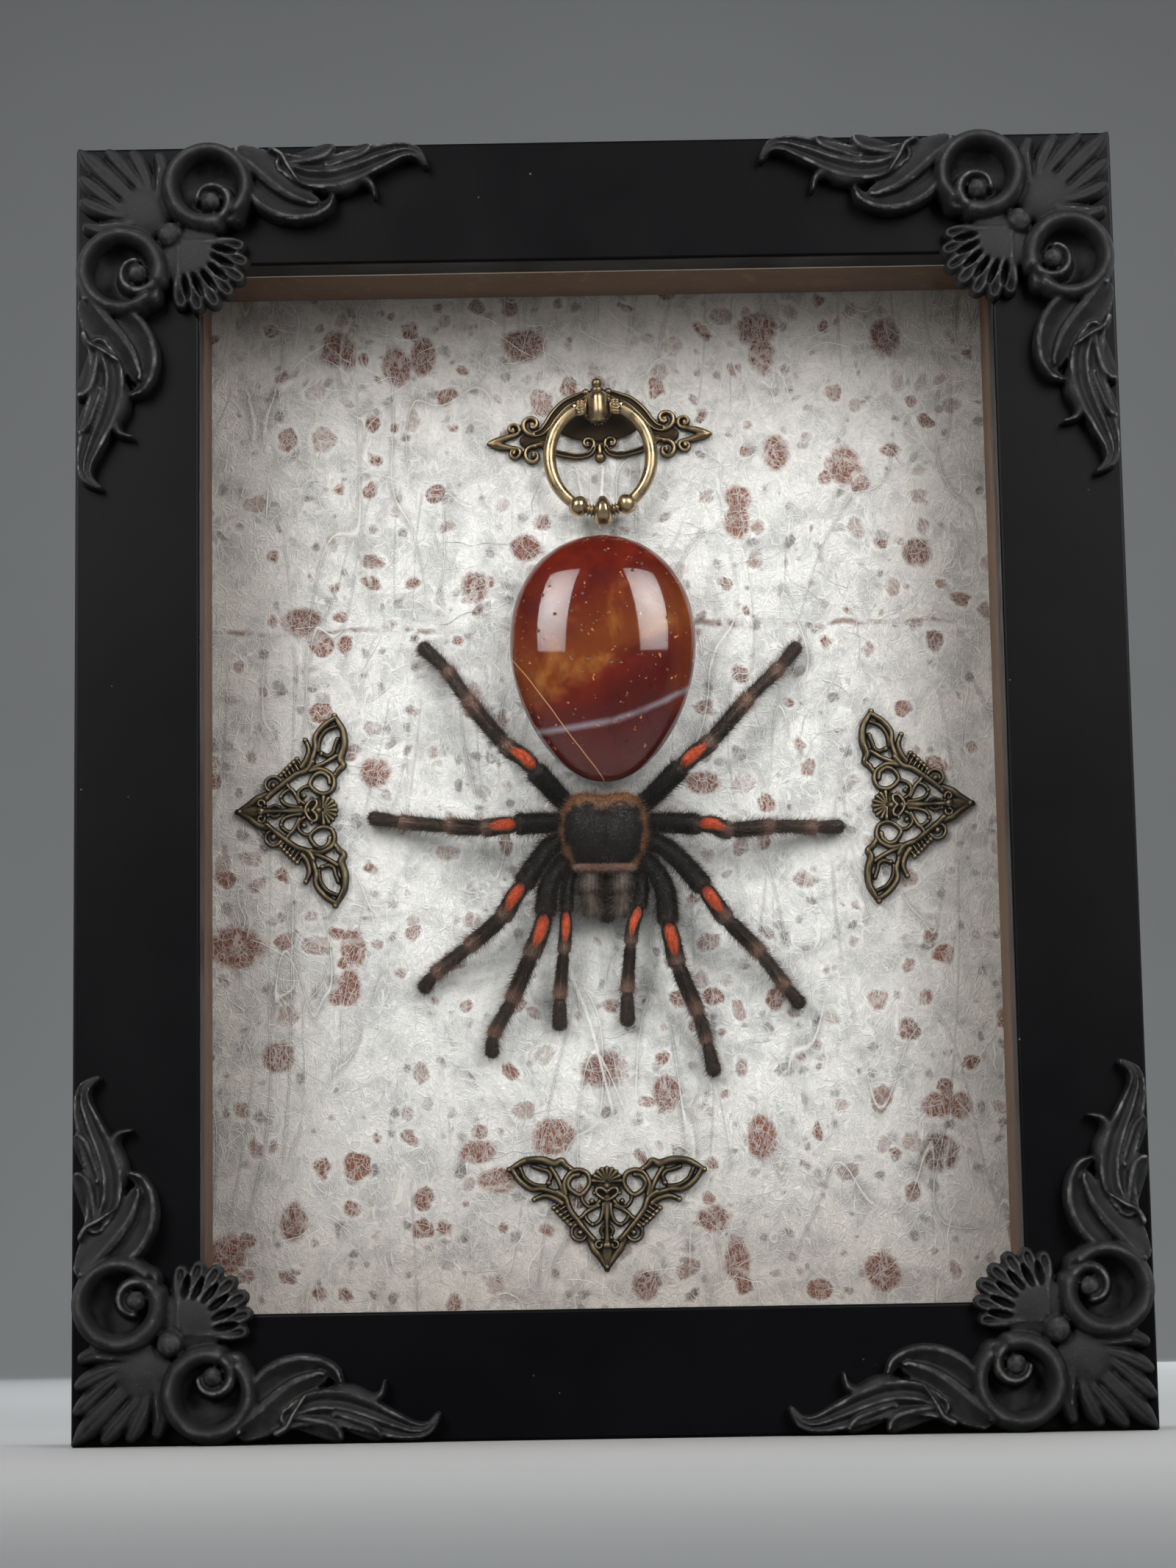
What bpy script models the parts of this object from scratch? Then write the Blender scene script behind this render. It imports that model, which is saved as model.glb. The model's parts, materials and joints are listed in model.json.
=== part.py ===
"""A shadow-box frame that holds a dried tarantula, mounted with a polished stone for its abdomen.

Metres, +Z up. The frame stands on its bottom edge and faces -Y. The origin is at the middle of
the whole object's underside. Sizes written in millimetres are turned into metres by MM."""

import math

import bmesh
import bpy
from mathutils import Matrix, Vector

MM = 0.001
GAP = 0.3 * MM

# The moulding: four mitred rails with a lip in front and a rabbet behind it.
FRAME_WIDTH = 266.7 * MM
FRAME_HEIGHT = 330.2 * MM
FRAME_DEPTH = 44.5 * MM
RAIL_WIDTH = 31.75 * MM
LIP_WIDTH = 6.35 * MM
LIP_DEPTH = 10.0 * MM
ARRIS = 0.8 * MM

# What stands proud of the frame's two flat faces.
ORNAMENT_RISE = 9.5 * MM
HANGER_RISE = 1.8 * MM

# The filling of the rabbet, counted back from the front face.
GLASS_THICKNESS = 2.0 * MM
SPACER_THICKNESS = 5.5 * MM
PAPER_DEPTH = 36.0 * MM
PAPER_THICKNESS = 0.8 * MM
BACKING_THICKNESS = 3.0 * MM
TAB_THICKNESS = 0.6 * MM
TAB_LENGTH = 16.0 * MM
TAB_WIDTH = 7.0 * MM

# Planes across the depth.
TOTAL_DEPTH = ORNAMENT_RISE + FRAME_DEPTH + HANGER_RISE
FACE_Y = ORNAMENT_RISE - TOTAL_DEPTH / 2
BACK_Y = FACE_Y + FRAME_DEPTH
GLASS_Y = FACE_Y + LIP_DEPTH + GAP
PAPER_Y = FACE_Y + PAPER_DEPTH
BACKING_Y = PAPER_Y + PAPER_THICKNESS + GAP

# The ring pull, whose middle, lean and hinge the plate, the post and the ring share.
PULL_AT = (0.4, 259.8)
PULL_LEAN = math.radians(1.8)
PIVOT_UP = 7.4
PIVOT_HEIGHT = 6.0
PIN_RADIUS = 0.7
PIN_HOLE_RADIUS = 1.05
PIN_HOLE_LENGTH = 12.0


for leftover in list(bpy.data.objects):
    bpy.data.objects.remove(leftover, do_unlink=True)

parts = bpy.data.collections.new("framed_tarantula")
bpy.context.scene.collection.children.link(parts)
cutters = bpy.data.collections.new("cutters")
bpy.context.scene.collection.children.link(cutters)


def finish(name, colour, roughness, metallic=0.0, transmission=0.0):
    material = bpy.data.materials.new(name)
    material.use_nodes = True
    shader = material.node_tree.nodes["Principled BSDF"]
    shader.inputs["Base Color"].default_value = (*colour, 1.0)
    shader.inputs["Roughness"].default_value = roughness
    shader.inputs["Metallic"].default_value = metallic
    shader.inputs["Transmission Weight"].default_value = transmission
    return material


BLACK_PAINT = finish("black satin paint", (0.012, 0.012, 0.014), 0.35)
CAST_RESIN = finish("charcoal cast resin", (0.03, 0.03, 0.031), 0.62)
GLASS = finish("clear glass", (0.95, 0.97, 0.97), 0.02, transmission=1.0)
BROWN_BOARD = finish("brown spacer board", (0.16, 0.085, 0.045), 0.8)
LACE_PAPER = finish("white lace paper", (0.8, 0.8, 0.77), 0.85)
BACK_BOARD = finish("hardboard", (0.3, 0.2, 0.12), 0.7)
ANTIQUE_BRASS = finish("antique brass", (0.45, 0.31, 0.14), 0.32, 1.0)
DARK_BRONZE = finish("antique bronze", (0.16, 0.11, 0.065), 0.4, 1.0)
CARNELIAN = finish("carnelian", (0.32, 0.06, 0.025), 0.08)
BLACK_CUTICLE = finish("black hairy cuticle", (0.02, 0.016, 0.015), 0.6)
BRISTLE_GREY = finish("grey brown bristle", (0.16, 0.12, 0.1), 0.7)
BRIGHT_STEEL = finish("zinc plated steel", (0.6, 0.6, 0.58), 0.35, 1.0)


def place(name, mesh, material):
    """Name a mesh's object, give it its one material and put it among the parts."""
    mesh.name = name
    mesh.materials.clear()
    mesh.materials.append(material)
    mesh.shade_smooth()
    mesh.set_sharp_from_angle(angle=math.radians(35))
    made = bpy.data.objects.new(name, mesh)
    parts.objects.link(made)
    return made


def evaluated_mesh(made):
    bpy.context.view_layer.update()
    graph = bpy.context.evaluated_depsgraph_get()
    return bpy.data.meshes.new_from_object(made.evaluated_get(graph))


def block_mesh(low, high):
    """A box between two corners."""
    shape = bmesh.new()
    bmesh.ops.create_cube(shape, size=1.0)
    low = Vector(low)
    high = Vector(high)
    bmesh.ops.scale(shape, vec=high - low, verts=shape.verts)
    bmesh.ops.translate(shape, vec=(low + high) / 2, verts=shape.verts)
    mesh = bpy.data.meshes.new("block")
    shape.to_mesh(mesh)
    shape.free()
    return mesh


def smooth_path(knots, steps):
    """Catmull-Rom points through knots of any length, so widths are smoothed with positions."""
    ends = [knots[0]] + list(knots) + [knots[-1]]
    path = []
    for before, start, end, after in zip(ends, ends[1:], ends[2:], ends[3:]):
        for step in range(steps):
            t = step / steps
            path.append(
                tuple(
                    0.5 * (2 * q + (r - p) * t + (2 * p - 5 * q + 4 * r - s) * t**2
                           + (3 * q - p - 3 * r + s) * t**3)
                    for p, q, r, s in zip(before, start, end, after)
                )
            )
    path.append(tuple(knots[-1]))
    return path


def tube_mesh(path, resolution):
    """A round bar along (x, y, z, radius) points, with its end caps welded on."""
    curve = bpy.data.curves.new("path", "CURVE")
    curve.dimensions = "3D"
    curve.bevel_depth = 1.0
    curve.bevel_resolution = resolution
    curve.use_fill_caps = True
    spline = curve.splines.new("POLY")
    spline.points.add(len(path) - 1)
    for target, (x, y, z, radius) in zip(spline.points, path):
        target.co = (x, y, z, 1.0)
        target.radius = radius
    guide = bpy.data.objects.new("path", curve)
    cutters.objects.link(guide)
    mesh = evaluated_mesh(guide)
    bpy.data.objects.remove(guide)
    shape = bmesh.new()
    shape.from_mesh(mesh)
    bmesh.ops.remove_doubles(shape, verts=shape.verts, dist=0.00001)
    bmesh.ops.recalc_face_normals(shape, faces=shape.faces)
    shape.to_mesh(mesh)
    shape.free()
    return mesh


# ---- relief castings: strokes that lie on a plane and are fused into one body ----


def relief_stroke(knots, lift, steps=4):
    """A rounded ridge through (across, down, radius) knots, lift times as high as it is wide."""
    path = [(a * MM, 0.0, -b * MM, radius * MM) for a, b, radius in smooth_path(knots, steps)]
    mesh = tube_mesh(path, 2)
    mesh.transform(Matrix.Diagonal((1.0, lift, 1.0, 1.0)))
    return mesh


def relief_dome(across, down, radius, height, stretch=1.0):
    """A low round boss; stretch makes it longer downwards."""
    shape = bmesh.new()
    bmesh.ops.create_uvsphere(shape, u_segments=16, v_segments=8, radius=radius * MM)
    bmesh.ops.scale(shape, vec=(1.0, height / radius, stretch), verts=shape.verts)
    bmesh.ops.translate(shape, vec=(across * MM, 0.0, -down * MM), verts=shape.verts)
    mesh = bpy.data.meshes.new("dome")
    shape.to_mesh(mesh)
    shape.free()
    return mesh


def arc_knots(across, down, reach, start, stop, count, radius):
    """Knots on an arc; angles in degrees, clockwise from the across axis."""
    knots = []
    for index in range(count):
        angle = math.radians(start + (stop - start) * index / (count - 1))
        knots.append((across + reach * math.cos(angle), down + reach * math.sin(angle), radius))
    return knots


def fuse_relief(meshes, cell, triangles, rise):
    """Melt overlapping meshes into one body with a flat back at y = 0 and its top at y = -rise."""
    shape = bmesh.new()
    for mesh in meshes:
        shape.from_mesh(mesh)
        bpy.data.meshes.remove(mesh)
    heap = bpy.data.meshes.new("heap")
    shape.to_mesh(heap)
    shape.free()
    made = bpy.data.objects.new("heap", heap)
    cutters.objects.link(made)
    melt = made.modifiers.new("melt", "REMESH")
    melt.mode = "VOXEL"
    melt.voxel_size = cell
    half_space = bpy.data.objects.new("half_space", block_mesh((-0.2, -0.1, -0.2), (0.2, 0.0, 0.2)))
    cutters.objects.link(half_space)
    cut = made.modifiers.new("flat back", "BOOLEAN")
    cut.operation = "INTERSECT"
    cut.object = half_space
    solid = evaluated_mesh(made)
    made.modifiers.clear()
    made.data = solid
    thin = made.modifiers.new("thin", "DECIMATE")
    thin.ratio = triangles / sum(len(face.vertices) - 2 for face in solid.polygons)
    thin.use_collapse_triangulate = True
    fused = evaluated_mesh(made)
    bpy.data.objects.remove(made)
    bpy.data.objects.remove(half_space)
    highest = -min(vertex.co.y for vertex in fused.vertices)
    for vertex in fused.vertices:
        vertex.co.y = min(0.0, vertex.co.y * rise / highest)
    return fused


# ---- the frame ----


def rail_section():
    """Points (across from the outer edge, depth from the face), with both front edges eased."""
    section = [(0.0, FRAME_DEPTH)]
    for step in range(4):
        angle = math.radians(30 * step)
        section.append((ARRIS - ARRIS * math.cos(angle), ARRIS - ARRIS * math.sin(angle)))
    for step in range(4):
        angle = math.radians(30 * step)
        section.append((RAIL_WIDTH - ARRIS + ARRIS * math.sin(angle), ARRIS - ARRIS * math.cos(angle)))
    section.append((RAIL_WIDTH, LIP_DEPTH))
    section.append((RAIL_WIDTH - LIP_WIDTH, LIP_DEPTH))
    section.append((RAIL_WIDTH - LIP_WIDTH, FRAME_DEPTH))
    return section


def add_rail(name, length, reach, turn):
    """A mitred rail whose outer edge is at reach from the middle, turned about the frame's middle."""
    mitre_gap = GAP / math.sqrt(2)
    section = rail_section()
    shape = bmesh.new()
    ring = [shape.verts.new((0.0, FACE_Y + depth, reach - across)) for across, depth in section]
    end = shape.faces.new(ring)
    grown = bmesh.ops.extrude_face_region(shape, geom=[end])
    far = {item for item in grown["geom"] if isinstance(item, bmesh.types.BMVert)}
    for vertex in shape.verts:
        half = length / 2 - (reach - vertex.co.z) - mitre_gap
        vertex.co.x = half if vertex in far else -half
    bmesh.ops.recalc_face_normals(shape, faces=shape.faces)
    mesh = bpy.data.meshes.new(name)
    shape.to_mesh(mesh)
    shape.free()
    rail = place(name, mesh, BLACK_PAINT)
    rail.location = (0.0, 0.0, FRAME_HEIGHT / 2)
    rail.rotation_euler = (0.0, turn, 0.0)


add_rail("rail_top", FRAME_WIDTH, FRAME_HEIGHT / 2, 0.0)
add_rail("rail_bottom", FRAME_WIDTH, FRAME_HEIGHT / 2, math.pi)
add_rail("rail_right", FRAME_HEIGHT, FRAME_WIDTH / 2, math.pi / 2)
add_rail("rail_left", FRAME_HEIGHT, FRAME_WIDTH / 2, -math.pi / 2)

# ---- glass, spacers, paper and backing, which all drop into the rabbet from behind ----

RABBET_X = FRAME_WIDTH / 2 - RAIL_WIDTH + LIP_WIDTH - GAP
RABBET_LOW = RAIL_WIDTH - LIP_WIDTH + GAP
RABBET_HIGH = FRAME_HEIGHT - RABBET_LOW


def add_panel(name, front, thickness, material):
    low = (-RABBET_X, front, RABBET_LOW)
    high = (RABBET_X, front + thickness, RABBET_HIGH)
    place(name, block_mesh(low, high), material)


add_panel("glass", GLASS_Y, GLASS_THICKNESS, GLASS)
add_panel("backing_paper", PAPER_Y, PAPER_THICKNESS, LACE_PAPER)
add_panel("backing_board", BACKING_Y, BACKING_THICKNESS, BACK_BOARD)

SPACER_FRONT = GLASS_Y + GLASS_THICKNESS + GAP
SPACER_BACK = PAPER_Y - GAP
for side, name in ((-1, "spacer_left"), (1, "spacer_right")):
    outer = side * RABBET_X
    inner = side * (RABBET_X - SPACER_THICKNESS)
    low = (min(outer, inner), SPACER_FRONT, RABBET_LOW)
    high = (max(outer, inner), SPACER_BACK, RABBET_HIGH)
    place(name, block_mesh(low, high), BROWN_BOARD)

SPACER_X = RABBET_X - SPACER_THICKNESS - GAP
for bottom, name in ((RABBET_LOW, "spacer_bottom"), (RABBET_HIGH - SPACER_THICKNESS, "spacer_top")):
    low = (-SPACER_X, SPACER_FRONT, bottom)
    high = (SPACER_X, SPACER_BACK, bottom + SPACER_THICKNESS)
    place(name, block_mesh(low, high), BROWN_BOARD)

# ---- the back: flat steel tabs that hold the board, and a sawtooth hanger on two nails ----


def extruded_outline(points, thickness):
    """A flat plate from an outline of (x, z) points, from y = 0 back to y = thickness."""
    curve = bpy.data.curves.new("outline", "CURVE")
    curve.dimensions = "2D"
    curve.fill_mode = "BOTH"
    curve.extrude = thickness / 2
    spline = curve.splines.new("POLY")
    spline.points.add(len(points) - 1)
    for target, (x, z) in zip(spline.points, points):
        target.co = (x, z, 0.0, 1.0)
    spline.use_cyclic_u = True
    guide = bpy.data.objects.new("outline", curve)
    cutters.objects.link(guide)
    mesh = evaluated_mesh(guide)
    bpy.data.objects.remove(guide)
    mesh.transform(Matrix.Translation((0.0, thickness / 2, 0.0)) @ Matrix.Rotation(math.pi / 2, 4, "X"))
    shape = bmesh.new()
    shape.from_mesh(mesh)
    bmesh.ops.remove_doubles(shape, verts=shape.verts, dist=0.00001)
    bmesh.ops.recalc_face_normals(shape, faces=shape.faces)
    shape.to_mesh(mesh)
    shape.free()
    return mesh


def tab_outline():
    """A strip with a rounded free end, which starts at the rabbet's wall and points along +X."""
    half = TAB_WIDTH / 2
    outline = [(0.0, -half), (TAB_LENGTH - half, -half)]
    for step in range(1, 6):
        angle = math.radians(-90 + 30 * step)
        outline.append((TAB_LENGTH - half + half * math.cos(angle), half * math.sin(angle)))
    outline.extend([(TAB_LENGTH - half, half), (0.0, half)])
    return outline


TAB_Y = BACKING_Y + BACKING_THICKNESS + GAP
TAB_ROWS = (0.25, 0.75)
tab_mesh = extruded_outline(tab_outline(), TAB_THICKNESS)
tab_places = [("tab_top", 0.0, RABBET_HIGH, math.pi / 2), ("tab_bottom", 0.0, RABBET_LOW, -math.pi / 2)]
for row, share in zip(("lower", "upper"), TAB_ROWS):
    height = RABBET_LOW + share * (RABBET_HIGH - RABBET_LOW)
    tab_places.append((f"tab_left_{row}", -RABBET_X, height, 0.0))
    tab_places.append((f"tab_right_{row}", RABBET_X, height, math.pi))
for name, across, height, turn in tab_places:
    tab = place(name, tab_mesh.copy(), BRIGHT_STEEL)
    tab.location = (across, TAB_Y, height)
    tab.rotation_euler = (0.0, turn, 0.0)

HANGER_LENGTH = 44.0 * MM
HANGER_WIDTH = 9.0 * MM
HANGER_THICKNESS = 0.7 * MM
HANGER_TEETH = 9
HANGER_TOOTH_DEPTH = 1.5 * MM
NAIL_AT = 18.5 * MM
NAIL_HEAD_RADIUS = 2.2 * MM


def hanger_outline():
    """A bar with round ends, whose lower edge between the nails is cut into teeth."""
    half = HANGER_WIDTH / 2
    outline = []
    for side in (1, -1):
        for step in range(7):
            angle = math.radians(-90 + 30 * step) if side == 1 else math.radians(90 + 30 * step)
            centre = side * (HANGER_LENGTH / 2 - half)
            outline.append((centre + half * math.cos(angle), half * math.sin(angle)))
    pitch = (HANGER_LENGTH - 4 * half) / HANGER_TEETH
    for tooth in range(HANGER_TEETH):
        left = -HANGER_LENGTH / 2 + 2 * half + tooth * pitch
        outline.append((left, -half + HANGER_TOOTH_DEPTH))
        outline.append((left + pitch / 2, -half))
    return outline


hanger = place("sawtooth_hanger", extruded_outline(hanger_outline(), HANGER_THICKNESS), BRIGHT_STEEL)
hanger.location = (0.0, BACK_Y + GAP, FRAME_HEIGHT - RAIL_WIDTH / 2)

nail_shape = bmesh.new()
bmesh.ops.create_uvsphere(nail_shape, u_segments=12, v_segments=8, radius=NAIL_HEAD_RADIUS)
bmesh.ops.rotate(nail_shape, matrix=Matrix.Rotation(-math.pi / 2, 3, "X"), verts=nail_shape.verts)
ball = nail_shape.verts[:] + nail_shape.edges[:] + nail_shape.faces[:]
bmesh.ops.bisect_plane(nail_shape, geom=ball, plane_co=(0, 0, 0), plane_no=(0, -1, 0), clear_outer=True)
rim = [edge for edge in nail_shape.edges if edge.is_boundary]
bmesh.ops.contextual_create(nail_shape, geom=rim)
nail_height = HANGER_RISE - HANGER_THICKNESS - 2 * GAP
bmesh.ops.scale(nail_shape, vec=(1.0, nail_height / NAIL_HEAD_RADIUS, 1.0), verts=nail_shape.verts)
bmesh.ops.recalc_face_normals(nail_shape, faces=nail_shape.faces)
nail_mesh = bpy.data.meshes.new("nail")
nail_shape.to_mesh(nail_mesh)
nail_shape.free()
for side, name in ((-1, "hanger_nail_left"), (1, "hanger_nail_right")):
    nail = place(name, nail_mesh.copy(), BRIGHT_STEEL)
    nail.location = (side * NAIL_AT, BACK_Y + HANGER_THICKNESS + 2 * GAP, FRAME_HEIGHT - RAIL_WIDTH / 2)

# ---- the four corner ornaments, one casting turned to each corner ----

CORNER_CELL = 0.8 * MM
CORNER_TRIANGLES = 640
PETAL_HUB = (16.5, 16.5)
PETAL_TIPS = ((1.9, 1.9), (9.3, 1.9), (15.5, 2.5), (21.5, 3.4))
SCROLL_CENTRE = (34.3, 12.8)
SHELL_HUB = (27.0, 27.0)


def corner_arm():
    """The strokes along one rail: petals, the hollow scroll with its ball, and the leaf."""
    strokes = []
    for tip in PETAL_TIPS:
        petal = []
        for share, radius in ((0.15, 1.6), (0.65, 2.7), (0.93, 1.7)):
            across = PETAL_HUB[0] + share * (tip[0] - PETAL_HUB[0])
            down = PETAL_HUB[1] + share * (tip[1] - PETAL_HUB[1])
            petal.append((across, down, radius))
        strokes.append(relief_stroke(petal, 1.7))
    strokes.append(relief_stroke(arc_knots(*SCROLL_CENTRE, 9.9, 70, 390, 13, 1.9), 4.8, 2))
    strokes.append(relief_dome(*SCROLL_CENTRE, 9.0, 2.0))
    strokes.append(relief_dome(SCROLL_CENTRE[0] + 1, SCROLL_CENTRE[1] + 4.5, 3.2, 6.5))
    leaf = ((45, 8, 2.6), (55, 10, 3.4), (67.5, 11.2, 3.5), (77.5, 8.6, 2.9), (85.5, 5, 1.8), (89, 8, 0.9))
    strokes.append(relief_stroke(leaf, 1.8, 3))
    strokes.append(relief_stroke(((44, 14, 2.4), (51, 18, 2.6), (58.5, 19.6, 2.4), (65, 17, 1.2)), 1.9, 3))
    strokes.append(relief_stroke(((57, 7, 2.2), (63.5, 5.2, 2.2), (66, 3, 1.8)), 1.9, 3))
    strokes.append(relief_stroke(((67, 7, 2.2), (72.7, 4.4, 2.2), (75.4, 2.8, 1.6)), 1.7, 3))
    strokes.append(relief_stroke(((68, 12.6, 2.0), (74, 12.8, 1.8), (77.2, 15.6, 0.9)), 1.6, 3))
    return strokes


def corner_shell():
    """The strokes on the diagonal: the hub, the round boss and the fluted shell."""
    strokes = [relief_dome(*PETAL_HUB, 5.0, 5.5), relief_dome(25.0, 25.0, 3.6, 7.5)]
    for flute in range(5):
        angle = math.radians(45 + 19 * (flute - 2))
        reach = 15.0 - 0.6 * abs(flute - 2)
        tip = (SHELL_HUB[0] + reach * math.cos(angle), SHELL_HUB[1] + reach * math.sin(angle), 2.0)
        middle = ((SHELL_HUB[0] + tip[0]) / 2, (SHELL_HUB[1] + tip[1]) / 2, 2.4)
        strokes.append(relief_stroke(((*SHELL_HUB, 2.0), middle, tip), 2.6))
    return strokes


strokes = corner_shell() + corner_arm()
swap_axes = Matrix(((0, 0, -1, 0), (0, 1, 0, 0), (-1, 0, 0, 0), (0, 0, 0, 1)))
for stroke in corner_arm():
    stroke.transform(swap_axes)
    stroke.flip_normals()
    strokes.append(stroke)
corner_mesh = fuse_relief(strokes, CORNER_CELL, CORNER_TRIANGLES, ORNAMENT_RISE - GAP)
corner_places = (
    ("corner_ornament_top_left", -1, FRAME_HEIGHT, 0.0),
    ("corner_ornament_bottom_left", -1, 0.0, -math.pi / 2),
    ("corner_ornament_bottom_right", 1, 0.0, math.pi),
    ("corner_ornament_top_right", 1, FRAME_HEIGHT, math.pi / 2),
)
for name, side, height, turn in corner_places:
    ornament = place(name, corner_mesh.copy(), CAST_RESIN)
    ornament.location = (side * FRAME_WIDTH / 2, FACE_Y - GAP, height)
    ornament.rotation_euler = (0.0, turn, 0.0)

# ---- three filigree corners glued to the paper, points outwards ----

FILIGREE_RISE = 1.8 * MM
FILIGREE_CELL = 0.35 * MM
FILIGREE_TRIANGLES = 390


def filigree_half():
    """One side of a filigree: the wing loop, its strap, the round loop, beads and volute."""
    strokes = [
        ((0, 24, 1.6), (3.2, 23.4, 1.1), (4.4, 20.6, 1.0), (9.4, 13.8, 0.9), (10.9, 9.6, 0.9),
         (14.4, 3.8, 0.9)),
        ((8.4, 3.2, 0.8), (11.4, 1.6, 1.1), (17, 0.9, 1.0), (22.4, 2, 1.0), (25.2, 3, 0.9)),
        ((10.9, 9.6, 0.8), (16, 8, 0.9), (20.6, 6.6, 0.9), (23.8, 2.6, 0.8)),
        ((11, 10, 0.8), (15, 9.4, 0.8), (18.6, 10.4, 0.8)),
        ((2.4, 5.6, 0.9), (4, 8.6, 0.8), (7.4, 9.4, 0.8), (10, 6.6, 0.8), (8.4, 3.4, 0.8), (4.4, 4.4, 0.8)),
        ((2.2, 8.4, 0.8), (4.2, 12, 0.8), (5.8, 14.8, 0.7), (7.6, 16.4, 0.7)),
        ((9.6, 13.4, 1.4), (11.6, 15.4, 1.4), (9.6, 17.4, 1.3), (7.0, 17.0, 1.2)),
    ]
    return [relief_stroke(knots, 1.3, 3) for knots in strokes] + [relief_dome(7.0, 19.4, 2.3, 1.6)]


strokes = filigree_half()
strokes.append(relief_dome(0.0, 6.0, 3.8, 2.2))
strokes.append(relief_stroke(((0, 8, 1.6), (0, 16, 0.9), (0, 22, 2.2), (0, 28.4, 0.8)), 1.2))
for stroke in filigree_half():
    stroke.transform(Matrix.Diagonal((-1.0, 1.0, 1.0, 1.0)))
    stroke.flip_normals()
    strokes.append(stroke)
filigree_mesh = fuse_relief(strokes, FILIGREE_CELL, FILIGREE_TRIANGLES, FILIGREE_RISE)
filigree_places = (
    ("filigree_bottom", -0.9, 70.3, math.radians(0.8)),
    ("filigree_left", -67.2, 161.7, math.pi / 2),
    ("filigree_right", 67.6, 160.4, -math.pi / 2 - math.radians(0.8)),
)
for name, across, height, turn in filigree_places:
    filigree = place(name, filigree_mesh.copy(), DARK_BRONZE)
    filigree.location = (across * MM, PAPER_Y - GAP, height * MM)
    filigree.rotation_euler = (0.0, turn, 0.0)

# ---- the ring pull: a pierced plate, a barrel-shaped post and a swinging ring ----

PLATE_RISE = 1.7 * MM
PLATE_CELL = 0.5 * MM
PLATE_TRIANGLES = 600
POST_HEIGHT = 5.6
POST_SIZE = (2.4, 3.5, 4.1)


def on_pull(mesh):
    """Lean a mesh as the pull leans and move it from the pull's own middle to its place."""
    lean = Matrix.Rotation(-PULL_LEAN, 4, "Y")
    mesh.transform(Matrix.Translation((PULL_AT[0] * MM, PAPER_Y, PULL_AT[1] * MM)) @ lean)
    return mesh


def plate_half():
    """One side of the plate: its arch, arm and garland, the pointed leaf, and the scrolls as domes."""
    strokes = [
        ((0, -10.6, 1.2), (4.6, -11.0, 1.0), (8, -10.0, 1.0), (11.1, -7.4, 1.0), (13.7, -3.8, 1.0),
         (16.2, -2.2, 1.1)),
        ((14.4, -1.4, 1.4), (18.4, -0.6, 1.2), (21.4, -0.2, 1.0)),
        ((14.4, 0.6, 1.2), (11, 3.2, 0.8), (7, 4.4, 0.8), (3.2, 4.6, 0.8), (0, 4.6, 1.0)),
        ((21.6, -3.0, 1.0), (25, -1.7, 1.1), (29, 0, 0.6)),
        ((21.6, 2.6, 1.0), (25, 1.5, 1.1), (29, 0, 0.6)),
    ]
    domes = [
        relief_dome(17.6, -4.6, 2.7, 1.7),
        relief_dome(17.6, 3.8, 2.6, 1.7),
        relief_dome(22.0, -3.3, 2.2, 1.5),
        relief_dome(22.0, 2.9, 2.2, 1.5),
        relief_dome(2.4, -12.8, 1.1, 1.2),
    ]
    return [relief_stroke(knots, 1.3, 3) for knots in strokes] + domes


strokes = plate_half()
for stroke in plate_half():
    stroke.transform(Matrix.Diagonal((-1.0, 1.0, 1.0, 1.0)))
    stroke.flip_normals()
    strokes.append(stroke)
strokes.append(relief_dome(0.0, -5.4, 12.0, 1.2, 0.45))
strokes.append(relief_dome(0.0, 5.0, 1.6, 1.6))
strokes.append(relief_stroke(((0, -10, 2.6), (0, -13, 1.8), (0, -15.4, 1.2)), 0.8))
plate_mesh = fuse_relief(strokes, PLATE_CELL, PLATE_TRIANGLES, PLATE_RISE)
plate_mesh.transform(Matrix.Translation((0.0, -GAP, 0.0)))
place("pull_backplate", on_pull(plate_mesh), ANTIQUE_BRASS)

post_shape = bmesh.new()
bmesh.ops.create_uvsphere(post_shape, u_segments=12, v_segments=8, radius=MM)
bmesh.ops.scale(post_shape, vec=POST_SIZE, verts=post_shape.verts)
post_middle = Vector((0.0, -POST_HEIGHT, PIVOT_UP)) * MM
bmesh.ops.translate(post_shape, vec=post_middle, verts=post_shape.verts)
post_mesh = bpy.data.meshes.new("post")
post_shape.to_mesh(post_mesh)
post_shape.free()
post = place("pull_post", on_pull(post_mesh), ANTIQUE_BRASS)

pin_line = Matrix.Translation((0.0, -PIVOT_HEIGHT * MM, PIVOT_UP * MM))
pin_line = pin_line @ Matrix.Rotation(math.pi / 2, 4, "Y")
bore_shape = bmesh.new()
bmesh.ops.create_cone(
    bore_shape,
    cap_ends=True,
    segments=12,
    radius1=PIN_HOLE_RADIUS * MM,
    radius2=PIN_HOLE_RADIUS * MM,
    depth=PIN_HOLE_LENGTH * MM,
    matrix=pin_line,
)
bore_mesh = bpy.data.meshes.new("bore")
bore_shape.to_mesh(bore_mesh)
bore_shape.free()
bore = bpy.data.objects.new("pin_bore", on_pull(bore_mesh))
bore.hide_render = True
bore.display_type = "WIRE"
cutters.objects.link(bore)
drill = post.modifiers.new("pin bore", "BOOLEAN")
drill.operation = "DIFFERENCE"
drill.object = bore

# The ring is one bar: pins, ribbed ferrules, a tapering hoop, two balls, collars and a barrel.
HOOP_DOWN = 13.6
HOOP_ACROSS = 13.4
HOOP_HIGH = 14.6
BULGES = ((180.0, 9.0, 3.9), (164.0, 3.0, 1.9), (151.0, 8.6, 2.4), (28.0, 4.0, 1.7))


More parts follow.
